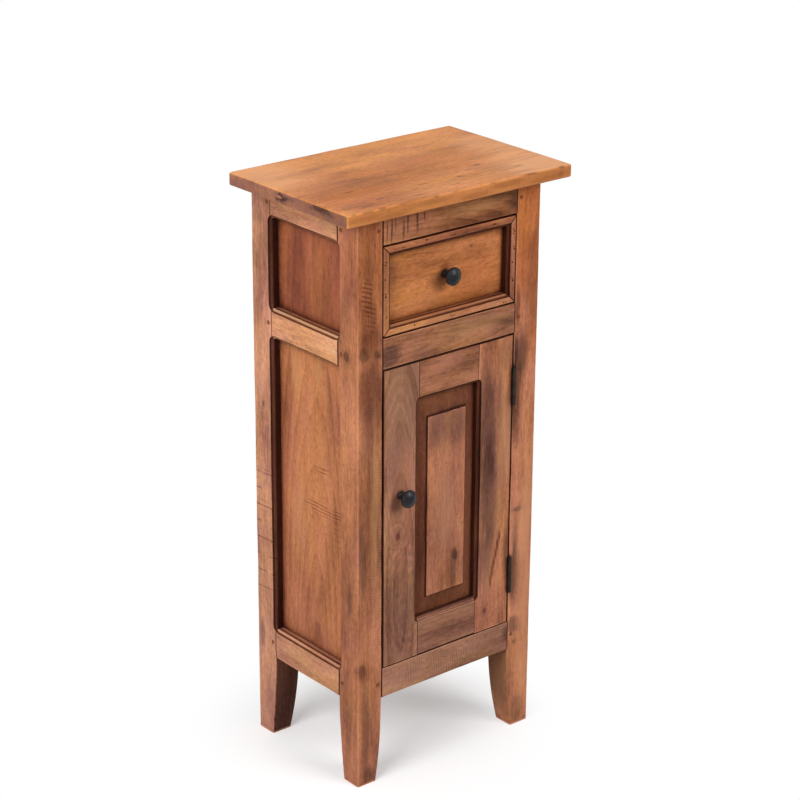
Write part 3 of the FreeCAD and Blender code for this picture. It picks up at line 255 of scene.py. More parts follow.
# Weights in the swing from dark to pale wood and in its relief, and shares of roughness
CLOUD_SWING = 2.2
STREAK_SWING = 1.0
FIBRE_SWING = 0.8
FIBRE_RELIEF = 0.8
STREAK_RELIEF = 0.6
LATE_RELIEF = -0.3
SAW_RELIEF = -1.2
HOLE_RELIEF = -2.0
LEAST_ROUGHNESS = 0.30
STREAK_ROUGHNESS = 0.25
GLAZE_AND_SHADE_ROUGHNESS = 0.2
METAL_ROUGHNESS = 0.24

# Ranges where shares ease in: from, to and, where they aren't 0 and 1, the shares there
FACING = (0.6, 0.9)
PLUM = (0.36, 0.64)
BRUISED = (0.52, 0.68)
PORE_RANGE = (0.63, 0.72, 0.0, 0.55)
END_SHARE = 0.92
END_STREAKS = (0.25, 0.65, 1.0, 0.65)
WORN_PATCHES = (0.54, 0.72)
WORN_GRAIN = (0.45, 0.62, 0.0, 0.5)
PATINA_RANGE = (0.3, 0.7)

# Marks: the same ranges, with streaks and zone for stains and shades, and the weights of a curl
RAGGED_KINDS = ("stain", "saw")
STAIN_EASE = ((0.30, 0.66, 0.35, 1.4), (0.08, 0.75))
SHADE_EASE = ((0.30, 0.66, 0.6, 1.25), (0.05, 0.85))
SAW_EDGE = 0.6
SAW_ZONE = (0.12, 0.6)
BROKEN = (0.34, 0.50)
KNOT_ZONE = (0.22, 0.75)
HALO_REACH = 2.0
HALO_ZONE = (0.2, 0.9, 0.0, 0.35)
CURL_CLOUD = 0.7
CURL_STREAK = 0.25
ARC_RANGE = (-0.5, 1.0)
CURL_START = (0.35, 0.8)
CURL_END = (2.3, 1.3)
HOLE_CELLS = 46.0
HOLE_EASE = 0.02
HOLE_RIM = (0.05, 0.028)

# Rubbed edges, and painted highlights on the door field's arris and on moulding crests and lips: where they
# ease in, and their patches
EDGE_RUB = (2.2 * MM, 0.5 * MM)
EDGE_PATCHES = (0.40, 0.58, 0.1, 0.55)
RIM_RUB = (4.0 * MM, 1.5 * MM)
RIM_PATCHES = (0.35, 0.55, 0.2, 0.8)
ARRIS_START = (0.2 * MM, 0.5 * MM)
ARRIS_END = (1.3 * MM, 0.8 * MM)
CREST_START = (0.35 * OVOLO_DEPTH, 0.5 * OVOLO_DEPTH)
CREST_END = (0.9 * OVOLO_DEPTH, 0.75 * OVOLO_DEPTH)
LIP_START = (0.7 * MOULDING_REACH, 0.8 * MOULDING_REACH)
HIGHLIGHT_PATCHES = (0.35, 0.6, 0.1, 0.8)
LIP_PATCHES = (0.35, 0.6, 0.3, 1.0)

# Dark glaze with painted shade: in corners, by depth over a moulding and round the door's field; dark glaze
# along joints and gaps
CORNERS = (0.90, 0.35)
CORNER_SAMPLES = 6
GLAZE_AND_SHADE_PATCHES = (0.25, 0.6, 0.86, 1.0)
LINE_GLAZE_AND_SHADE = 0.6
OVOLO_GLAZE_AND_SHADE = 0.62
QUIRK_STOPS = (0.5 * QUIRK_DEPTH, 0.8 * QUIRK_DEPTH, 1.3 * QUIRK_DEPTH)
OVOLO_STOPS = (0.4 * OVOLO_DEPTH, 0.85 * OVOLO_DEPTH, 0.95 * OVOLO_DEPTH, 1.1 * OVOLO_DEPTH)
MOULDING_STOPS = (0.0, *QUIRK_STOPS, *OVOLO_STOPS, MOULDING_DEPTH)
BESIDE = (MOULDING_REACH, 0.9 * MOULDING_REACH)
JOINT_EASE = (JOINT_LINE, 0.3 * JOINT_LINE)
JOINT_GLAZE = 0.8
MITRE_GLAZE = 0.9
EDGE_DIRT = (EDGE_LINE, 0.4 * EDGE_LINE, 0.0, 0.85)
MARGIN_START = (0.9 * MM, 2.2 * MM)
MARGIN_END = (PANEL_DEPTH, 0.8 * PANEL_DEPTH)
SHOULDER_START = (0.25 * SHOULDER_DEPTH, 0.5 * SHOULDER_DEPTH, 0.0, 0.75)
SHOULDER_END = (1.3 * SHOULDER_DEPTH, SHOULDER_DEPTH)


@dataclass
class Mark:
    """A stain, a soft shade, a spot of colour, a knot, arcs of figure or saw marks on a board.

    at is its place as shares of the board's box and size its reach in mm along x, y and z.
    colour is a share of the wood's own colour, or for a spot a colour. Saw marks
    cross the grain every spacing mm, each width mm wide, and tilt by slant. The arcs of a
    curl lie a width apart, as a share of its size. only names the axis that the faces with
    the mark look along, if it isn't on all.
    """

    at: tuple
    size: tuple
    colour: tuple = STAIN
    strength: float = 0.8
    kind: str = "stain"
    spacing: float = 6.0
    width: float = 1.8
    slant: float = 0.15
    only: str = ""


shade = partial(Mark, kind="shade")
spot = partial(Mark, kind="spot")
knot = partial(Mark, kind="knot")


@dataclass
class Board:
    """How one board was cut and what shows on it.

    grain is the axis of its fibres, tone its middle colour, heart the way to the middle of
    the tree in mm (across, in depth), and lean how far that drifts along the board. rings
    sets how close they lie. figure, contrast, bruises and holes are shares, and so is each
    glaze with its painted shade; the reach of the corner glaze and shade is in mm. between
    names the two boards it is tenoned into. face is its outer face and moulded its moulded
    edges, each as an axis and an end, 0 low or 1 high, and so are dark_edges, where dirt has
    gathered along a gap. worms are places along the board, as shares, with a number of worm
    holes.
    """

    grain: str
    tone: tuple
    heart: tuple = (14.0, 34.0)
    lean: float = 0.04
    rings: float = 170.0
    figure: float = 0.18
    contrast: float = 0.75
    bruises: float = 0.55
    marks: tuple = ()
    holes: float = 0.25
    glaze: float = 0.85
    glaze_reach: float = 9.0
    between: tuple = ()
    face: tuple = ()
    moulded: tuple = ()
    moulding_glaze: float = 0.6
    quirk_glaze: float = 1.0
    mitred: bool = False
    margin_glaze: float = 0.0
    dark_edges: tuple = ()
    worms: tuple = ()


def rgba(colour):
    return (*colour, 1.0)


def times(colour, shares):
    return tuple(min(c * s, BRIGHTEST) for c, s in zip(colour, shares))


class Nodes:
    """The node tree of a material or the world, with short calls to build it."""

    def __init__(self, owner):
        owner.use_nodes = True
        self.tree = owner.node_tree
        self.tree.nodes.clear()

    def feed(self, socket, value):
        """Sets a socket to a constant, or links another socket to it."""
        if isinstance(value, bpy.types.NodeSocket):
            self.tree.links.new(value, socket)
        else:
            socket.default_value = value

    def add(self, kind, values=None, **settings):
        """A new node: settings are its properties, values its inputs."""
        node = self.tree.nodes.new("ShaderNode" + kind)
        for name, value in settings.items():
            setattr(node, name, value)
        for key, value in (values or {}).items():
            self.feed(node.inputs[key], value)
        return node

    def calc(self, operation, *operands):
        return self.add("Math", dict(enumerate(operands)), operation=operation).outputs[0]

    def weigh(self, value, weight, rest):
        """value times weight, on top of rest."""
        return self.calc("MULTIPLY_ADD", value, weight, rest)

    def product(self, first, *others):
        for other in others:
            first = self.calc("MULTIPLY", first, other)
        return first

    def vector(self, operation, *operands):
        node = self.add("VectorMath", dict(enumerate(operands)), operation=operation)
        return node.outputs["Value" if operation in ("DOT_PRODUCT", "LENGTH") else "Vector"]

    def split(self, value):
        return self.add("SeparateXYZ", {0: value}).outputs

    def span(self, value, start, end, low=0.0, high=1.0):
        """value eased from low at start to high at end."""
        values = {"Value": value, 1: start, 2: end, 3: low, 4: high}
        return self.add("MapRange", values, interpolation_type="SMOOTHSTEP").outputs[0]

    def blend(self, share, below, above, how="MIX"):
        node = self.add("Mix", {0: share, 6: below, 7: above}, data_type="RGBA", blend_type=how)
        return node.outputs[2]

    def ramp(self, value, stops):
        """value through a ramp of (position, colour) stops."""
        node = self.add("ValToRGB", {0: value})
        elements = node.color_ramp.elements
        while len(elements) < len(stops):
            elements.new(0.5)
        for element, (position, colour) in zip(elements, stops):
            element.position = position
            element.color = rgba(colour)
        return node.outputs[0]

    def noise(self, place, waves, detail, roughness, output="Fac"):
        """Soft noise with that many waves a metre along each axis of place."""
        scaled = self.vector("MULTIPLY", place, waves)
        values = {"Vector": scaled, "Scale": 1.0, "Detail": detail, "Roughness": roughness}
        return self.add("TexNoise", values).outputs[output]

    def surface(self, values):
        """A shader with these inputs, led to the material's output."""
        shader = self.add("BsdfPrincipled", values)
        self.add("OutputMaterial", {"Surface": shader.outputs[0]})
        return shader


class Timber(Nodes):
    """Material of one board: solid wood all through, then what age has left on its faces, with painted shade
    and painted highlights.
    """

    def __init__(self, name, board, seed):
        self.material = bpy.data.materials.new(name)
        super().__init__(self.material)
        self.board, self.seed = board, seed
        self.lo, self.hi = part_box(name)
        self.centre = (self.lo + self.hi) / 2
        self.half = (self.hi - self.lo) / 2
        self.along = AXES[board.grain]
        sides = [axis for axis in range(3) if axis != self.along]
        self.across, self.depth = sorted(sides, key=lambda axis: -self.half[axis])

        coordinates = self.add("TexCoord").outputs
        self.place = coordinates["Object"]
        self.level = self.split(self.place)[AXES["z"]]
        self.facing = self.split(self.vector("ABSOLUTE", coordinates["Normal"]))
        local = self.vector("SUBTRACT", self.place, self.centre)
        self.part = self.split(local)
        self.gaps = self.split(self.vector("SUBTRACT", self.half, self.vector("ABSOLUTE", local)))
        self.sunk = self.from_face(*board.face) if board.face else None
        rag = self.vector("SUBTRACT", self.noise(self.place, *RAG, output="Color"), NOISE_MIDDLE)
        self.nearly = self.vector("MULTIPLY_ADD", rag, NEAR_REACH, self.place)
        self.ragged = self.vector("MULTIPLY_ADD", rag, RAG_REACH, self.place)

        self.grow()
        self.colour = self.heartwood()
        self.height = self.weigh(self.fibre, FIBRE_RELIEF, self.product(self.late, LATE_RELIEF))
        self.height = self.weigh(self.streak, STREAK_RELIEF, self.height)
        self.cut_ends()
        for mark in board.marks:
            self.leave(mark)
        self.bore_holes()
        self.rub_edges_and_paint_highlights()
        glaze = self.settle_glaze()
        layer = self.add("CombineXYZ", {i: self.calc("POWER", share, glaze) for i, share in enumerate(GLAZE_AND_SHADE)})
        self.colour = self.vector("MULTIPLY", self.colour, layer.outputs[0])
        self.finish(glaze)

    def from_face(self, axis, end):
        """Distance in from one face of the board's box."""
        i = AXES[axis]
        return self.calc("ADD" if end == 0 else "SUBTRACT", self.half[i], self.part[i])

    def offset(self, mark, reach=1.0):
        """The way from the middle of a mark, in shares of its size."""
        middle = [self.lo[i] + mark.at[i] * (self.hi[i] - self.lo[i]) for i in range(3)]
        away = self.vector("SUBTRACT", self.ragged if mark.kind in RAGGED_KINDS else self.nearly, middle)
        return self.vector("DIVIDE", away, [size * MM * reach for size in mark.size])

    def falloff(self, mark, reach=1.0):
        """One in the middle of a mark, falling away to nothing round it."""
        offset = self.offset(mark, reach)
        return self.calc("EXPONENT", self.product(self.vector("DOT_PRODUCT", offset, offset), -1.0))

    def grow(self):
        """Streaks, clouds and growth rings along the board."""
        along, across, depth = [self.part[axis] for axis in (self.along, self.across, self.depth)]
        line = self.add("CombineXYZ", {0: along, 1: across, 2: depth}).outputs[0]
        line = self.vector("ADD", line, [step * self.seed for step in BOARD_STEP])
        flow = self.vector("MULTIPLY_ADD", self.noise(line, *SWAY, output="Color"), SWAY_REACH, line)
        self.streak = self.noise(flow, *STREAK)
        self.fibre = self.noise(flow, *FIBRE)
        self.speckle = self.noise(line, *SPECKLES)
        self.tinge = self.noise(line, *TINGE, output="Color")
        self.hue = self.noise(flow, *HUE)
        self.cloud = self.noise(flow, *CLOUD)
        self.bruise = self.noise(flow, *BRUISE)
        self.pores = self.noise(flow, *PORES)

        push = 0.0
        for mark in self.board.marks:
            if mark.kind == "knot":
                push = self.weigh(self.falloff(mark, KNOT_REACH), KNOT_PUSH, push)
        drift = self.weigh(along, self.board.lean, self.board.heart[1] * MM)
        slow = self.weigh(along, RING_STRETCH, RING_STEP * self.seed)
        sideways = self.calc("ADD", across, self.board.heart[0] * MM)
        inward = self.calc("ADD", depth, drift)
        values = {
            "Vector": self.add("CombineXYZ", {0: slow, 1: sideways, 2: inward}).outputs[0],
            "Scale": self.board.rings * math.tau / WAVE_RADIANS,
            "Phase Offset": push,
            **RING_WOBBLE,
        }
        settings = {"wave_type": "RINGS", "rings_direction": "X", "wave_profile": "SAW"}
        rings = self.add("TexWave", values, **settings).outputs["Fac"]
        self.late = self.product(self.calc("POWER", rings, LATE_POWER), self.span(rings, *RING_END))

    def heartwood(self):
        """The wood's own colour, from dark to pale."""
        tone, contrast = self.board.tone, self.board.contrast
        swing = self.calc("MULTIPLY", self.cloud, CLOUD_SWING)
        swing = self.weigh(self.streak, STREAK_SWING, swing)
        swing = self.weigh(self.fibre, FIBRE_SWING, swing)
        swing = self.weigh(self.late, -self.board.figure, swing)
        middle = (CLOUD_SWING + STREAK_SWING + FIBRE_SWING) / 2 - LATE_MEAN * self.board.figure
        level = self.weigh(swing, contrast, 0.5 - middle * contrast)
        colour = self.ramp(level, [(at, times(tone, shares)) for at, shares in TONE_STOPS])
        plum = self.span(self.hue, *PLUM)
        colour = self.darken(1.0, colour, self.blend(plum, rgba(GOLD_SHARE), rgba(PLUM_SHARE)))
        bruised = self.span(self.bruise, *BRUISED, 0.0, self.board.bruises)
        colour = self.darken(bruised, colour, rgba(STAIN))
        colour = self.darken(self.span(self.pores, *PORE_RANGE), colour, rgba(PORE))
        least = [1.0 - share / 2 for share in HUE_SPECKLE]
        colour = self.vector("MULTIPLY", colour, self.vector("MULTIPLY_ADD", self.tinge, HUE_SPECKLE, least))
        light = self.weigh(self.speckle, SPECKLE, 1.0 - SPECKLE / 2)
        return self.vector("MULTIPLY", colour, light)

    def darken(self, share, colour, left):
        """colour, with only the shares left of it where share is one."""
        return self.blend(share, colour, left, "MULTIPLY")

    def cut_ends(self):
        """Greyer wood where the grain is cut across."""
        ends = self.span(self.facing[self.along], *FACING, 0.0, END_SHARE)
        ends = self.product(ends, self.span(self.streak, *END_STREAKS))
        self.colour = self.blend(ends, self.colour, rgba(END_GRAIN))

    def leave(self, mark):
        """One mark on the board."""
        if mark.kind == "saw":
            near = self.split(self.nearly)
            sideways = self.calc("ADD", near[self.across], near[self.depth])
            tilted = self.weigh(sideways, mark.slant, near[self.along])
            wave = self.calc("COSINE", self.product(tilted, math.tau / (mark.spacing * MM)))
            edge = math.cos(math.pi * min(1.0, mark.width / mark.spacing))
            line = self.span(wave, edge, SAW_EDGE + (1.0 - SAW_EDGE) * edge)
            broken = self.span(self.noise(self.place, *BREAKS), *BROKEN)
            share = self.product(self.span(self.falloff(mark), *SAW_ZONE), line, broken)
            self.height = self.weigh(share, SAW_RELIEF, self.height)
        elif mark.kind == "knot":
            halo = self.span(self.falloff(mark, HALO_REACH), *HALO_ZONE)
            share = self.calc("MAXIMUM", self.span(self.falloff(mark), *KNOT_ZONE), halo)
        elif mark.kind == "curl":
            reach = self.vector("LENGTH", self.offset(mark))
            wobbly = self.weigh(self.cloud, CURL_CLOUD, reach)
            wobbly = self.weigh(self.streak, CURL_STREAK, wobbly)
            arcs = self.span(self.calc("COSINE", self.product(wobbly, math.tau / mark.width)), *ARC_RANGE)
            share = self.product(arcs, self.span(reach, *CURL_START), self.span(reach, *CURL_END))
        else:
            streaks, zone = STAIN_EASE if mark.kind == "stain" else SHADE_EASE
            share = self.span(self.product(self.falloff(mark), self.span(self.streak, *streaks)), *zone)
        if mark.only:
            share = self.product(share, self.span(self.facing[AXES[mark.only]], *FACING))
        share = self.product(share, mark.strength)
        if mark.kind == "spot":
            self.colour = self.blend(share, self.colour, rgba(mark.colour))
        else:
            self.colour = self.darken(share, self.colour, rgba(mark.colour))

    def bore_holes(self):
        """Worm holes, few and small, darkened for the shade and dirt inside them."""
        cells = self.add("TexVoronoi", {"Vector": self.place, "Scale": HOLE_CELLS}).outputs
        rare = 1.0 - self.board.holes
        chosen = self.span(self.split(cells["Color"])[0], rare, rare + HOLE_EASE)
        hole = self.product(self.span(cells["Distance"], *HOLE_RIM), chosen)
        self.colour = self.darken(hole, self.colour, rgba(BURN))
        self.height = self.weigh(hole, HOLE_RELIEF, self.height)

    def band(self, value, start, end, patches):
        """Where value lies between start and end, in patches along the grain."""
        inside = self.product(self.span(value, *start), self.span(value, *end))
        return self.product(inside, self.span(self.streak, *patches))

    def rub_edges_and_paint_highlights(self):
        """Edges rubbed pale here and there, and painted highlights along the door field's arris and moulding
        crests and lips.
        """
        board = self.board
        least = self.calc("MINIMUM", self.gaps[0], self.gaps[1])
        most = self.calc("MAXIMUM", self.gaps[0], self.gaps[1])
        edge = self.calc("MAXIMUM", least, self.calc("MINIMUM", most, self.gaps[2]))
        rubs_and_highlights = [self.product(self.span(edge, *EDGE_RUB), self.span(self.cloud, *EDGE_PATCHES))]
        if self.lo.z < MM:
            rubs_and_highlights.append(self.product(self.span(self.level, *RIM_RUB), self.span(self.streak, *RIM_PATCHES)))
        # Painted highlight along the arris of the door's raised field
        if board.margin_glaze:
            rubs_and_highlights.append(self.band(self.sunk, ARRIS_START, ARRIS_END, HIGHLIGHT_PATCHES))
        # Painted highlight on the crest of a moulding with little glaze and shade
        if board.moulded and board.moulding_glaze < PALE_MOULDING:
            rubs_and_highlights.append(self.band(self.sunk, CREST_START, CREST_END, HIGHLIGHT_PATCHES))
        # Painted highlight along the lip over the quirk
        if board.quirk_glaze < PALE_MOULDING:
            rubs_and_highlights.append(self.band(self.from_face(*board.moulded[0]), LIP_START, BESIDE, LIP_PATCHES))
        rubbed_and_highlighted = rubs_and_highlights[0]
        for rub in rubs_and_highlights[1:]:
            rubbed_and_highlighted = self.calc("MAXIMUM", rubbed_and_highlighted, rub)
        self.colour = self.blend(rubbed_and_highlighted, self.colour, rgba(times(board.tone, RUB_AND_HIGHLIGHT_SHARE)))

    def settle_glaze(self):
        """Share of dark glaze left in corners, mouldings and joints, with painted shade in the corners and
        mouldings.
        """
        board = self.board
        reach = board.glaze_reach * MM
        # Painted shade, with glaze: darker where occlusion finds other surfaces within reach, in corners,
        # recesses and gaps
        free = self.add("AmbientOcclusion", {"Distance": reach}, samples=CORNER_SAMPLES).outputs["AO"]
        glaze = self.span(free, *CORNERS, 0.0, board.glaze)
        if self.lo.z < FOOT_TOP:
            glaze = self.product(glaze, self.span(self.level, 0.0, reach))
        patchy = self.span(self.streak, *GLAZE_AND_SHADE_PATCHES)

        def lay(share):
            return self.calc("MAXIMUM", glaze, self.product(share, patchy))

        # Painted shade, with glaze, over each moulding: darker by depth into it, set lighter on mouldings
        # that face up to the light
        for edge_axis, edge_end in board.moulded:
            line = LINE_GLAZE_AND_SHADE + (1.0 - LINE_GLAZE_AND_SHADE) * board.moulding_glaze
            quirk = line * board.quirk_glaze
            ovolo = OVOLO_GLAZE_AND_SHADE * board.moulding_glaze
            shares = (0.0, 0.0, quirk, quirk, ovolo, ovolo, line, line, board.moulding_glaze)
            stops = [(at / MOULDING_DEPTH, (share,) * 3) for at, share in zip(MOULDING_STOPS, shares)]
            profile = self.ramp(self.calc("DIVIDE", self.sunk, MOULDING_DEPTH), stops)
            share = self.product(profile, self.span(self.from_face(edge_axis, edge_end), *BESIDE))
            if self.lo.z < FOOT_TOP:
                share = self.product(share, self.span(self.level, FOOT_TOP, FOOT_TOP + JOINT_LINE))
            glaze = lay(share)
            if board.mitred:
                outer = self.from_face(edge_axis, 1 - edge_end)
                off_mitre = self.calc("ABSOLUTE", self.calc("SUBTRACT", self.gaps[self.along], outer))
                glaze = lay(self.span(off_mitre, *JOINT_EASE, 0.0, MITRE_GLAZE))
        if board.between:
            before, after = board.between
            for shoulder in (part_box(before)[1][self.along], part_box(after)[0][self.along]):
                off = self.calc("SUBTRACT", self.part[self.along], shoulder - self.centre[self.along])
                glaze = lay(self.span(self.calc("ABSOLUTE", off), *JOINT_EASE, 0.0, JOINT_GLAZE))
        for dark_edge in board.dark_edges:
            glaze = lay(self.span(self.from_face(*dark_edge), *EDGE_DIRT))
        # Painted shade, with glaze, over the door panel's sloping margin and along the shoulder round its
        # field
        if board.margin_glaze:
            margin = self.span(self.sunk, *MARGIN_START, 0.0, board.margin_glaze)
            glaze = lay(self.product(margin, self.span(self.sunk, *MARGIN_END)))
            shoulder = self.span(self.sunk, *SHOULDER_START)
            glaze = lay(self.product(shoulder, self.span(self.sunk, *SHOULDER_END)))
        return glaze

    def finish(self, glaze):
        """Sheen and fine relief over the colour."""
        polish = self.weigh(self.streak, STREAK_ROUGHNESS, LEAST_ROUGHNESS)
        bump = self.add("Bump", {"Strength": 0.4, "Distance": 0.5 * MM, "Height": self.height})
        self.surface({
            "Base Color": self.colour,
            "Roughness": self.weigh(glaze, GLAZE_AND_SHADE_ROUGHNESS, polish),
            "Specular IOR Level": 0.06,
            "Normal": bump.outputs[0],
        })


def metal(name, colour, rough, metallic, wear_colour):
    """Forged or drawn metal: uneven sheen, fine pits and rubbed spots."""
    material = bpy.data.materials.new(name)
    nodes = Nodes(material)
    place = nodes.add("TexCoord").outputs["Object"]
    grain = nodes.noise(place, *PITS)
    cloud = nodes.noise(place, *PATINA)
    spots = nodes.product(nodes.span(cloud, *WORN_PATCHES), nodes.span(grain, *WORN_GRAIN))
    base = nodes.blend(nodes.span(cloud, *PATINA_RANGE), rgba(colour), rgba(times(colour, PATINA_SHARE)))
    bump = nodes.add("Bump", {"Strength": 0.25, "Distance": 0.2 * MM, "Height": grain})
    nodes.surface({
        "Base Color": nodes.blend(spots, base, rgba(wear_colour)),
        "Roughness": nodes.weigh(grain, METAL_ROUGHNESS, rough - METAL_ROUGHNESS / 2),
        "Metallic": metallic,
        "Specular IOR Level": 0.22,
        "Normal": bump.outputs[0],
    })
    return material


FRONT_POSTS = ("front_left_leg", "front_right_leg")
BACK_POSTS = ("back_left_leg", "back_right_leg")
DOOR_POSTS = ("door_lock_stile", "door_hinge_stile")
LEFT_SIDE = {"between": ("front_left_leg", "back_left_leg"), "face": ("x", 0)}
RIGHT_SIDE = {"between": ("front_right_leg", "back_right_leg"), "face": ("x", 1)}
STRIP = {"contrast": 0.7, "face": ("y", 0), "mitred": True}

BOARDS = {}


def cut(node_name, grain, tone, **looks):
    BOARDS[node_name] = Board(grain, tone, **looks)


# Wear of the top board, in shares: nicks at its front with half lengths in mm, dashes and dark streaks
TOP_NICKS = (
    (0.03, 5), (0.09, 9), (0.15, 6), (0.24, 12), (0.38, 5), (0.47, 9), (0.63, 7), (0.81, 11), (0.95, 6),
)
TOP_DASHES = (
    (0.12, 0.07), (0.21, 0.13), (0.17, 0.32), (0.34, 0.06), (0.43, 0.20), (0.52, 0.10), (0.83, 0.15),
)
TOP_STREAKS = ((0.06, 0.45), (0.19, 0.25), (0.37, 0.60), (0.55, 0.30), (0.70, 0.65), (0.88, 0.35))

# Old saw cuts across the rail over the drawer: place and level as shares, half width and height in mm
RAIL_CUTS = (
    (0.100, 0.40, 1.2, 16), (0.128, 0.45, 1.5, 22), (0.150, 0.70, 1.0, 12), (0.200, 0.35, 1.7, 17),
    (0.226, 0.70, 1.8, 20), (0.284, 0.65, 2.2, 18), (0.330, 0.75, 1.2, 12),
)

# A slanting gash in the door's hinge stile: places and levels as shares
GASHES = tuple((0.74 - 1.7 * (0.34 - at), at) for at in (0.32, 0.29, 0.26, 0.23, 0.20, 0.17))

cut(
    "top_board", "x", HONEY, heart=(-30, 60), lean=0.03, rings=110, figure=0.15, contrast=0.55, bruises=0.05,
    holes=0.1, glaze=0.5,
    marks=(
        Mark((0.0, 0.545, 0.50), (8, 12, 8), BURN, 0.9),
        Mark((0.0, 0.17, 0.55), (8, 11, 5), BURN, 0.6),
        Mark((0.0, 0.50, 0.55), (8, 18, 3), BURN, 0.7),
        Mark((0.0, 0.24, 0.8), (8, 16, 4), BURN, 0.7),
        spot((0.0, 0.560, 0.55), (6, 7, 2.2), ORANGE, 0.7),
        knot((0.59, 0.196, 1.0), (4, 3, 4), STAIN, 0.9),
        knot((0.727, 0.30, 1.0), (7, 3, 4), STAIN, 0.9),
        knot((0.945, 0.0, 0.5), (5, 9, 4), BURN, 0.8),
        Mark((0.10, 0.10, 1.0), (26, 10, 5), STAIN, 0.4),
        # Painted sheen: a pale reflection on the top's right and back-left
        spot((0.96, 0.12, 1.0), (80, 60, 12), SHEEN, 0.75, only="z"),
        spot((0.98, 0.55, 1.0), (60, 60, 12), SHEEN, 0.5, only="z"),
        spot((0.02, 0.85, 1.0), (70, 80, 12), SHEEN, 0.6, only="z"),
        shade((0.32, 0.38, 1.0), (110, 50, 12), TAWNY, 0.8, only="z"),
        shade((0.66, 0.50, 1.0), (60, 40, 12), PALE_TAWNY, 0.7, only="z"),
        # Painted light: the top's front edge made paler, nearly as bright as the lit top
        spot((0.5, 0.0, 0.5), (400, 4, 30), PALE_HONEY, 0.5, only="y"),
        shade((0.15, 0.2, 1.0), (70, 50, 12), RUSSET, 0.8),
        shade((0.0, 0.1, 0.5), (8, 60, 30), STAIN, 0.35, only="x"),
        *(shade((at, 0.0, 1.0), (size, 2.2, 2.2), BURN, 0.6) for at, size in TOP_NICKS),
        *(shade((at, back, 1.0), (9, 1.8, 4), STAIN, 0.75) for at, back in TOP_DASHES),
        *(shade((at, 0.0, level), (26, 6, 4), SEPIA, 0.4) for at, level in TOP_STREAKS),
    ),
)
cut(
    "front_left_leg", "z", CHESTNUT, heart=(10, 26), lean=0.03, contrast=0.7, bruises=0.35,
    face=("x", 0), moulded=(("y", 1),),
    marks=(
        shade((0.5, 0.0, 0.93), (60, 40, 90), AMBER_WASH, 0.9, only="y"),
        Mark((0.30, 0.0, 0.872), (8, 12, 22), SEPIA, 0.8, "saw", 6, 3.4, 0.45),
        Mark((0.52, 0.0, 0.835), (9, 12, 20), SEPIA, 0.7, "saw", 6, 3.4, 0.45),
        shade((0.45, 0.0, 0.83), (14, 12, 36), SEPIA, 0.7),
        shade((0.60, 0.0, 0.795), (22, 12, 18), SEPIA, 0.75),
        Mark((0.28, 0.0, 0.774), (7, 12, 8), STAIN, 0.7),
        Mark((0.85, 0.0, 0.768), (8, 12, 7), STAIN, 0.6),
        shade((0.62, 0.0, 0.71), (24, 14, 50), SEPIA, 0.95),
        Mark((0.66, 0.0, 0.70), (20, 14, 36), STAIN, 0.3),
        shade((0.22, 0.0, 0.43), (8, 14, 62), STAIN, 0.75),
        shade((0.26, 0.0, 0.213), (11, 10, 14), SEPIA, 0.7),
        Mark((0.22, 0.0, 0.218), (8, 10, 9), STAIN, 0.5),
        shade((0.30, 0.0, 0.10), (7, 12, 70), STAIN, 0.6),
        shade((0.42, 0.0, 0.015), (14, 16, 14), BURN, 0.6),
        Mark((0.78, 0.0, 0.46), (9, 8, 170), STAIN, 0.4, "saw", 4, 1.6),
        spot((0.72, 0.0, 0.5), (7, 8, 140), STRAW, 0.5),
        # Painted shade over all of this side face
        shade((0.0, 0.5, 0.5), (8, 60, 500), SIDE_SHADE, 1.0, only="x"),
        shade((0.0, 0.5, 0.06), (10, 40, 80), COOL_WASH, 0.9, only="x"),
        shade((0.0, 0.4, 0.92), (10, 16, 70), MAUVE_WASH, 0.8, only="x"),
        shade((0.0, 0.41, 0.345), (10, 6, 30)),
        knot((0.0, 0.55, 0.768), (8, 7, 9), BURN, 0.75),
        shade((0.0, 0.6, 0.83), (8, 12, 40), STAIN, 0.35),
    ),
)
cut(
    "back_left_leg", "z", ROSE_SAND, heart=(16, 40), lean=0.05, contrast=0.7, bruises=0.3,
    face=("x", 0), moulded=(("y", 0),), moulding_glaze=1.0,
    marks=(
        Mark((0.0, 0.6, 0.39), (3, 60, 105), SEPIA, 0.85, "saw", 24, 2.6, 0.06),
        Mark((0.0, 0.66, 0.45), (3, 30, 60), SEPIA, 0.5, "saw", 15, 1.4, 0.03),
        shade((0.0, 0.75, 0.19), (8, 6, 20), STAIN, 0.7),
        shade((0.0, 0.5, 0.08), (10, 40, 90), BLUE_WASH, 0.9, only="x"),
        knot((0.0, 0.51, 0.62), (8, 3, 5)),
        Mark((0.0, 0.7, 0.96), (8, 10, 26), STAIN, 0.5),
        # Painted shadow: the back foot's front face, shaded by the cabinet above it
        shade((0.5, 0.1, 0.06), (80, 40, 140), FOOT_SHADOW, 1.0, only="y"),
    ),
)
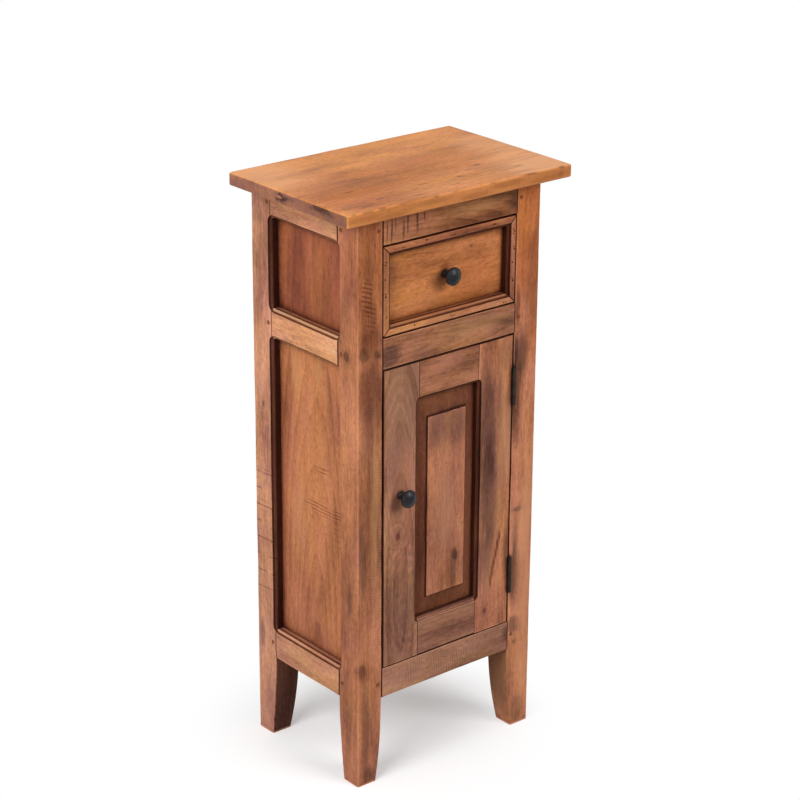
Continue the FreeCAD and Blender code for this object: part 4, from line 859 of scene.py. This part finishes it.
cut(
    "front_right_leg", "z", ORANGE, heart=(-12, 30), bruises=0.4, face=("x", 1), moulded=(("y", 1),),
    marks=(
        shade((0.5, 0.0, 0.96), (90, 40, 160), YELLOW_WASH, 1.0, only="y"),
        shade((0.60, 0.0, 0.89), (14, 12, 24), SEPIA, 0.5),
        shade((0.24, 0.0, 0.700), (15, 12, 36), BURN, 0.75),
        shade((0.80, 0.0, 0.72), (16, 12, 50), GOLD_WASH, 0.9, only="y"),
        shade((0.08, 0.0, 0.640), (11, 12, 70), BURN, 0.85),
        shade((0.10, 0.0, 0.785), (6, 12, 30)),
        knot((0.38, 0.0, 0.418), (14, 8, 5)),
        shade((0.22, 0.0, 0.37), (8, 12, 34), STAIN, 0.6),
        shade((0.22, 0.0, 0.30), (11, 12, 50), BURN, 0.75),
        Mark((0.30, 0.0, 0.20), (12, 9, 13)),
        knot((0.32, 0.0, 0.165), (3, 8, 4), BURN, 0.7),
        shade((0.45, 0.0, 0.03), (13, 16, 24), STAIN, 0.6),
        spot((0.68, 0.0, 0.32), (13, 12, 150), PALE_ORANGE, 0.75, only="y"),
        spot((0.68, 0.0, 0.11), (12, 12, 50), DULL_ORANGE, 0.4, only="y"),
        spot((0.0, 0.5, 0.08), (8, 30, 70), OLIVE, 0.7),
    ),
)
cut(
    "back_right_leg", "z", CHESTNUT, heart=(-14, 30), face=("x", 1), moulded=(("y", 0),), moulding_glaze=0.85,
)
cut(
    "front_top_rail", "x", TAN, heart=(20, 24), lean=0.12, figure=0.4, contrast=0.7, between=FRONT_POSTS,
    marks=(
        *(shade((at, 0.0, level), (width, 9, tall), BURN, 0.7) for at, level, width, tall in RAIL_CUTS),
        shade((0.22, 0.0, 0.5), (34, 9, 40), STAIN, 0.2),
        spot((0.62, 0.0, 0.55), (46, 9, 8), STRAW, 0.35),
        # Darker towards the rail's right end
        shade((0.84, 0.0, 0.75), (26, 9, 7), STAIN, 0.6),
        shade((0.70, 0.0, 0.12), (60, 9, 6), SEPIA, 0.6),
        shade((0.93, 0.0, 0.45), (18, 9, 14), STAIN, 0.85),
    ),
)
cut(
    "front_middle_rail", "x", DRAB, heart=(4, 22), lean=0.12, figure=0.35, contrast=0.8, between=FRONT_POSTS,
    marks=(
        shade((0.12, 0.0, 0.4), (18, 9, 20), STAIN, 0.9),
        shade((0.52, 0.0, 0.55), (20, 9, 14), STAIN, 0.35),
        spot((0.66, 0.0, 0.6), (50, 9, 12), STRAW, 0.2),
        Mark((0.85, 0.0, 0.3), (26, 9, 12), STAIN, 0.6),
    ),
)
cut(
    "front_bottom_rail", "x", DUN, heart=(12, 40), lean=0.03, contrast=0.6, bruises=0.3, between=FRONT_POSTS,
    marks=(
        Mark((0.45, 0.0, 0.5), (70, 9, 26), STAIN, 0.4, "saw", 4, 1.6, 0.1),
        Mark((0.93, 0.0, 0.6), (10, 9, 14), STAIN, 0.7),
    ),
)
cut("back_top_rail", "x", CHESTNUT, between=BACK_POSTS)
cut("back_bottom_rail", "x", TAN, between=BACK_POSTS)
cut(
    "left_top_rail", "y", SAND, **LEFT_SIDE, heart=(10, 24), lean=0.08, contrast=0.8, bruises=0.3,
    moulded=(("z", 0),), moulding_glaze=0.35, marks=(Mark((0.0, 0.2, 0.6), (9, 30, 16), STAIN, 0.35),),
)
cut(
    "left_middle_rail", "y", PALE_SAND, **LEFT_SIDE, heart=(22, 40), lean=0.03, contrast=0.5, bruises=0.15,
    holes=0.1, moulded=(("z", 0), ("z", 1)), moulding_glaze=0.2,
)
cut(
    "left_bottom_rail", "y", SAND, **LEFT_SIDE, heart=(18, 44), lean=0.03, contrast=0.6, bruises=0.25,
    glaze=0.4, moulded=(("z", 1),), moulding_glaze=0.15,
)
cut("right_top_rail", "y", CHESTNUT, **RIGHT_SIDE, lean=0.08, moulded=(("z", 0),), moulding_glaze=0.35)
cut(
    "right_middle_rail", "y", SAND, **RIGHT_SIDE, lean=0.03, contrast=0.6, moulded=(("z", 0), ("z", 1)),
    moulding_glaze=0.3,
)
cut("right_bottom_rail", "y", TAN, **RIGHT_SIDE, lean=0.03, moulded=(("z", 1),), moulding_glaze=0.2)
# Upper panel: its tone darkened in part as painted shade under the top
cut(
    "left_upper_panel", "z", RED_BROWN, heart=(20, 60), contrast=0.55, rings=110, bruises=0.3,
    glaze_reach=24,
)
cut(
    "left_lower_panel", "z", AMBER, heart=(4, 46), lean=0.09, contrast=0.5, rings=120, figure=0.4,
    bruises=0.2, glaze_reach=24,
    marks=(
        Mark((0.0, 0.34, 0.488), (30, 40, 8), SEPIA, 0.9, "saw", 4.6, 1.9, 0.03),
        Mark((0.0, 0.40, 0.535), (30, 12, 5), SEPIA, 0.7, "saw", 5, 1.7, 0.10),
        Mark((0.0, 0.38, 0.615), (30, 14, 5), SEPIA, 0.9, "saw", 5, 1.9, 0.03),
        Mark((0.0, 0.15, 0.44), (30, 12, 22), SEPIA, 0.7, "saw", 8, 1.7, 0.03),
        spot((0.0, 0.72, 0.90), (30, 10, 34), STRAW, 0.3),
        spot((0.0, 0.42, 0.93), (30, 8, 30), STRAW, 0.3),
        spot((0.0, 0.70, 0.40), (30, 16, 60), STRAW, 0.2),
        shade((0.0, 0.95, 0.5), (30, 14, 260), ROSE_WASH, 0.9),
        shade((0.0, 0.5, 0.0), (30, 80, 44), DUSK_WASH, 0.9),
    ),
)
cut(
    "right_upper_panel", "z", RED_BROWN, heart=(12, 50), lean=0.05, contrast=0.55, rings=110, bruises=0.3,
    glaze_reach=24,
)
cut(
    "right_lower_panel", "z", AMBER, heart=(-8, 46), lean=0.08, contrast=0.5, rings=120, bruises=0.2,
    glaze_reach=24,
)
cut(
    "drawer_front", "x", GOLD, heart=(26, 60), lean=0.05, contrast=0.65, rings=110, bruises=0.25, holes=0.2,
    glaze_reach=15,
    marks=(
        shade((0.70, 0.0, 0.30), (60, 6, 30), UMBER_WASH, 0.9),
        knot((0.70, 0.0, 0.74), (3, 6, 2.4), STAIN, 0.85),
        Mark((0.10, 0.0, 0.7), (12, 6, 40), STAIN, 0.4),
        Mark((0.44, 0.0, 0.42), (16, 6, 14), STAIN, 0.55),
    ),
)
cut(
    "drawer_moulding_top", "x", AMBER, **STRIP, moulded=(("z", 0),),
    worms=((0.14, 1), (0.31, 2), (0.50, 3), (0.82, 2)),
)
cut(
    "drawer_moulding_bottom", "x", TAN, **STRIP, glaze=0.3, moulded=(("z", 1),), moulding_glaze=0.28,
    worms=((0.23, 1), (0.50, 3), (0.91, 2)),
)
cut(
    "drawer_moulding_left", "z", TAN, **STRIP, moulded=(("x", 1),), moulding_glaze=0.45,
    worms=((0.22, 1), (0.45, 2), (0.64, 1), (0.80, 2)),
)
cut(
    "drawer_moulding_right", "z", CHESTNUT, **STRIP, moulded=(("x", 0),), moulding_glaze=1.0,
    worms=((0.26, 2), (0.47, 1), (0.62, 2), (0.80, 3)),
)
cut(
    "door_lock_stile", "z", OLIVE_BROWN, heart=(-2, 22), lean=0.14, contrast=0.7, rings=80, figure=0.4,
    bruises=0.2, face=("y", 0), moulded=(("x", 1),), dark_edges=(("x", 0), ("z", 1)),
    marks=(
        spot((0.5, 0.0, 0.88), (40, 12, 80), OLIVE, 0.4),
        Mark((0.42, 0.0, 0.66), (20, 30, 90), PALE_FIGURE, 0.75, "curl", width=0.22),
        Mark((0.75, 0.0, 0.20), (26, 30, 56), PALE_FIGURE, 0.65, "curl", width=0.26),
        shade((0.42, 0.0, 0.545), (12, 9, 14), BURN, 0.5),
        spot((0.62, 0.0, 0.66), (14, 9, 30), AMBER, 0.35),
        spot((0.5, 0.0, 0.46), (22, 9, 60), AMBER, 0.25),
        shade((0.35, 0.0, 0.16), (44, 12, 70), STAIN, 0.3),
        knot((0.43, 0.0, 0.437), (4.4, 9, 7.0), KNOT_SHARE, 1.0),
    ),
)
cut(
    "door_hinge_stile", "z", ORANGE, heart=(8, 30), lean=0.06, contrast=0.7, bruises=0.35,
    face=("y", 0), moulded=(("x", 0),), moulding_glaze=1.0, dark_edges=(("x", 1), ("z", 1)),
    marks=(
        shade((0.28, 0.0, 0.72), (21, 10, 95), STAIN, 0.92),
        shade((0.30, 0.0, 0.46), (21, 10, 95), STAIN, 0.9),
        shade((0.20, 0.0, 0.26), (18, 10, 60), STAIN, 0.6),
        shade((0.34, 0.0, 0.60), (12, 10, 70), SEPIA, 0.2),
        shade((0.80, 0.0, 0.95), (14, 10, 24), STAIN, 0.45),
        shade((0.97, 0.0, 0.80), (6, 10, 50), BURN, 0.6),
        spot((0.86, 0.0, 0.66), (9, 10, 60), SAND, 0.5),
        *(shade((across, 0.0, at), (2.2, 8, 10), GASH, 0.95) for across, at in GASHES),
        shade((0.95, 0.0, 0.25), (8, 10, 46), BURN, 0.6),
        knot((0.30, 0.0, 0.07), (4, 8, 5)),
        spot((0.74, 0.0, 0.60), (9, 8, 120), STRAW, 0.25),
        spot((0.40, 0.0, 0.20), (8, 8, 40), STRAW, 0.2),
        shade((0.60, 0.0, 0.07), (30, 8, 34), LILAC_WASH, 0.9),
    ),
)
cut(
    "door_top_rail", "x", UMBER, heart=(16, 40), lean=0.03, contrast=1.0, between=DOOR_POSTS,
    face=("y", 0), moulded=(("z", 0),), dark_edges=(("z", 1),),
    marks=(
        spot((0.36, 0.0, 0.72), (22, 9, 5), COPPER, 0.6),
        spot((0.34, 0.0, 0.22), (16, 9, 5), ORANGE, 0.6),
        shade((0.72, 0.0, 0.60), (20, 9, 12), STAIN, 0.35),
    ),
)
cut(
    "door_bottom_rail", "x", OLIVE_BROWN, heart=(20, 40), lean=0.03, contrast=0.7, bruises=0.5,
    between=DOOR_POSTS, face=("y", 0), moulded=(("z", 1),), moulding_glaze=0.4, quirk_glaze=0.0,
    dark_edges=(("z", 0),),
)
cut(
    "door_panel", "z", COPPER, heart=(20, 50), lean=0.02, contrast=0.6, bruises=0.2, glaze=0.5,
    glaze_reach=12, face=("y", 0), margin_glaze=0.38,
    marks=(
        Mark((0.65, 0.0, 0.25), (6, 8, 9), BURN, 0.75),
        shade((0.62, 0.0, 0.17), (6, 8, 30), STAIN, 0.6),
        shade((0.5, 0.0, 0.83), (40, 8, 36)),
        spot((0.5, 0.0, 0.47), (18, 8, 60), SAND, 0.4),
    ),
)
INNER_BOARDS = (
    ("z", "back_board_left back_board_middle back_board_right"),
    ("x", "cabinet_floor"),
    ("y", "left_floor_cleat right_floor_cleat left_drawer_runner right_drawer_runner"),
    ("y", "left_kicker right_kicker"),
    ("z", "drawer_stops"),
    ("y", "drawer_left_side drawer_right_side"),
    ("x", "drawer_back drawer_bottom"),
)
for inner_grain, inner_nodes in INNER_BOARDS:
    for inner_node in inner_nodes.split():
        cut(inner_node, inner_grain, BARE, heart=(18, 40), lean=0.05, contrast=0.6, bruises=0.25, glaze=0.4)


# Shapes
def put(name, data):
    """A new object in the scene."""
    piece = bpy.data.objects.new(name, data)
    bpy.context.scene.collection.objects.link(piece)
    return piece


def to_mesh(name, bm):
    mesh = bpy.data.meshes.new(name)
    bm.to_mesh(mesh)
    bm.free()
    return mesh


def settle(place):
    """The slow waver of hand-planed wood, one field for all boards so that joints stay shut."""
    wave = noise.noise_vector(place / WAVE_LENGTH)
    return wave * WAVE_HEIGHT * min(1.0, place.z / FLOOR_FADE)


def worn_mesh(node_name, seed):
    """A copy of a board's mesh with wavering faces and rubbed edges."""
    lo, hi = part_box(node_name)
    bm = bmesh.new()
    bm.from_mesh(frame["nodes"][node_name].data)
    bmesh.ops.remove_doubles(bm, verts=bm.verts, dist=WELD)
    bmesh.ops.dissolve_limit(bm, angle_limit=FLAT_ANGLE, verts=bm.verts, edges=bm.edges)
    for axis in range(3):
        normal = Vector([float(i == axis) for i in range(3)])
        count = int((hi[axis] - lo[axis]) / GRID_STEP)
        for i in range(1, count):
            point = lo + (hi - lo) * (i / count)
            geometry = bm.verts[:] + bm.edges[:] + bm.faces[:]
            bmesh.ops.bisect_plane(bm, geom=geometry, dist=WELD, plane_co=point, plane_no=normal)
    bm.normal_update()
    shift = Vector([step * seed for step in RUB_STEP])
    moves = []
    for vert in bm.verts:
        gaps = sorted(min(vert.co[i] - lo[i], hi[i] - vert.co[i]) for i in range(3))
        near = max(0.0, 1.0 - gaps[1] / EDGE_REACH)
        rub = 0.5 + 0.5 * noise.noise(vert.co / RUB_LENGTH + shift)
        moves.append(settle(vert.co) - vert.normal * (EDGE_WEAR * near * near * rub * rub))
    for vert, move in zip(bm.verts, moves):
        vert.co += move
    for face in bm.faces:
        face.smooth = True
    return to_mesh(node_name + "_worn", bm)


def drill_worms(piece, node_name, board, seed):
    """Drills the board's worm holes into its front face, each a small tapered pit."""
    lo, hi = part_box(node_name)
    along = AXES[board.grain]
    edge_axis, edge_end = board.moulded[0]
    across = AXES[edge_axis]
    outer, inward = (lo[across], 1.0) if edge_end == 1 else (hi[across], -1.0)
    chance = random.Random(seed)
    bm = bmesh.new()
    for share, count in board.worms:
        for i in range(count):
            pit = Vector(lo)
            pit[along] += share * (hi[along] - lo[along]) + i * WORM_STEP
            pit[across] = outer + inward * WORM_BAND * chance.uniform(*WORM_SPREAD)
            radius = chance.uniform(*WORM_RADIUS)
            turn = Matrix.Translation(pit) @ Matrix.Rotation(-math.pi / 2, 4, "X")
            bmesh.ops.create_cone(
                bm, cap_ends=True, segments=WORM_SIDES, radius1=radius, radius2=WORM_TAPER * radius,
                depth=2 * WORM_DEPTH, matrix=turn,
            )
    tool = put("worm_tool", to_mesh("worm_tool", bm))
    drill = piece.modifiers.new("drill", "BOOLEAN")
    drill.operation = "DIFFERENCE"
    drill.solver = "EXACT"
    drill.object = tool
    drilled = bpy.data.meshes.new_from_object(piece.evaluated_get(bpy.context.evaluated_depsgraph_get()))
    piece.modifiers.remove(drill)
    piece.data = drilled
    bpy.data.meshes.remove(tool.data)


def worn_board(node_name, board, seed):
    """The board as it shows: worn, drilled by worms and shaded flat on its faces."""
    piece = put(node_name + "_worn", worn_mesh(node_name, seed))
    if board.worms:
        drill_worms(piece, node_name, board, seed)
    mesh = piece.data
    for layer in [a.name for a in mesh.attributes if a.name in ("custom_normal", "sharp_edge")]:
        mesh.attributes.remove(mesh.attributes[layer])
    mesh.set_sharp_from_angle(angle=SHARP_ANGLE)
    mesh.materials.clear()
    flat = piece.modifiers.new("flat_faces", "WEIGHTED_NORMAL")
    flat.mode = "FACE_AREA"
    flat.keep_sharp = True
    return piece


def dress_boards():
    for seed, (node_name, board) in enumerate(BOARDS.items(), start=1):
        piece = worn_board(node_name, board, seed)
        piece.data.materials.append(Timber(node_name, board, seed).material)
        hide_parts(node_name)
        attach(piece, body_of(frame["nodes"][node_name])[0])


def dress_fittings():
    """Pegs, knobs, hinges, screws and the catch keep their solids and get finishes."""
    finishes = {
        "black_iron": metal("black_iron", IRON, 0.27, 0.25, IRON_WEAR),
        "steel": metal("steel", STEEL, 0.38, 1.0, STEEL_WEAR),
        "catch_plastic": metal("catch_plastic", CATCH_BROWN, 0.5, 0.0, CATCH_WEAR),
    }
    old_iron = metal("old_iron", OLD_IRON, 0.55, 0.3, RUST)
    peg = Board("z", PEG_BROWN, contrast=0.6, glaze=0.6)
    finishes["peg_wood"] = Timber("joint_pegs", peg, len(BOARDS) + 1).material
    for node_name, piece in frame["nodes"].items():
        if node_name not in BOARDS:
            hinge = node_name.startswith("hinge")
            piece.data.materials.clear()
            piece.data.materials.append(old_iron if hinge else finishes[SLOT_OF[node_name]])


# Stage
def lamp(name, place, aim, side, watts):
    data = bpy.data.lights.new(name, "AREA")
    data.size = side
    data.energy = watts
    piece = put(name, data)
    piece.location = place
    piece.rotation_mode = "QUATERNION"
    piece.rotation_quaternion = (Vector(aim) - Vector(place)).to_track_quat("-Z", "Y")


def seen_rays(nodes):
    """One for what the camera sees straight, in a mirror or through glass."""
    path = nodes.add("LightPath").outputs
    mirrored = nodes.calc("MAXIMUM", path["Is Glossy Ray"], path["Is Transmission Ray"])
    return nodes.calc("MAXIMUM", path["Is Camera Ray"], mirrored)


def light_stage():
    lamp("key_lamp", *KEY_LAMP)
    lamp("front_lamp", *FRONT_LAMP)
    lamp("top_lamp", *TOP_LAMP)
    world = bpy.data.worlds.new("studio")
    nodes = Nodes(world)
    strength = nodes.span(seen_rays(nodes), 0.0, 1.0, WORLD_LIGHT, 1.0)
    background = nodes.add("Background", {"Color": (1, 1, 1, 1), "Strength": strength})
    nodes.add("OutputWorld", {"Surface": background.outputs[0]})
    bpy.context.scene.world = world


def lay_floor():
    """A pale floor: plain diffuse near the feet, white further off."""
    bm = bmesh.new()
    bmesh.ops.create_grid(bm, x_segments=1, y_segments=1, size=FLOOR_SIZE / 2)
    floor = put("floor", to_mesh("floor", bm))
    material = bpy.data.materials.new("floor")
    nodes = Nodes(material)
    seen = seen_rays(nodes)
    dim = rgba(times(FLOOR_COLOUR, (FLOOR_BOUNCE,) * 3))
    near = nodes.add("BsdfPrincipled", {
        "Base Color": nodes.blend(seen, dim, rgba(FLOOR_COLOUR)),
        "Roughness": 0.7,
        "Specular IOR Level": 0.2,
        "Emission Color": (1, 1, 1, 1),
        "Emission Strength": nodes.product(seen, FLOOR_LIFT),
    })
    place = nodes.add("TexCoord").outputs["Object"]
    reach = nodes.vector("LENGTH", nodes.vector("SUBTRACT", place, SHADOW_CENTRE))
    far = nodes.product(nodes.span(reach, *SHADOW_REACH), seen)
    white = nodes.add("Emission", {"Color": (1, 1, 1, 1), "Strength": 1.0})
    both = nodes.add("MixShader", {0: far, 1: near.outputs[0], 2: white.outputs[0]})
    nodes.add("OutputMaterial", {"Surface": both.outputs[0]})
    floor.data.materials.append(material)


def set_camera():
    yaw, pitch = CAMERA_YAW, CAMERA_PITCH
    forward = Vector((math.sin(yaw) * math.cos(pitch), math.cos(yaw) * math.cos(pitch), -math.sin(pitch)))
    level = Vector((math.cos(yaw), -math.sin(yaw), 0.0))
    upright = level.cross(forward)
    right = level * math.cos(CAMERA_ROLL) + upright * math.sin(CAMERA_ROLL)
    up = upright * math.cos(CAMERA_ROLL) - level * math.sin(CAMERA_ROLL)
    aim = Vector((0.0, AIM_BACK, AIM_HEIGHT)) + level * AIM_RIGHT
    data = bpy.data.cameras.new("camera")
    data.sensor_width = SENSOR_WIDTH
    data.lens = FOCAL_PIXELS / IMAGE_PIXELS * SENSOR_WIDTH
    camera = put("camera", data)
    turn = Matrix((right, up, -forward)).transposed().to_4x4()
    camera.matrix_world = Matrix.Translation(aim - forward * CAMERA_DISTANCE) @ turn
    bpy.context.scene.camera = camera


noise.seed_set(WAVE_SEED)
dress_boards()
dress_fittings()
lay_floor()
light_stage()
set_camera()
bpy.context.scene.view_settings.view_transform = "Standard"
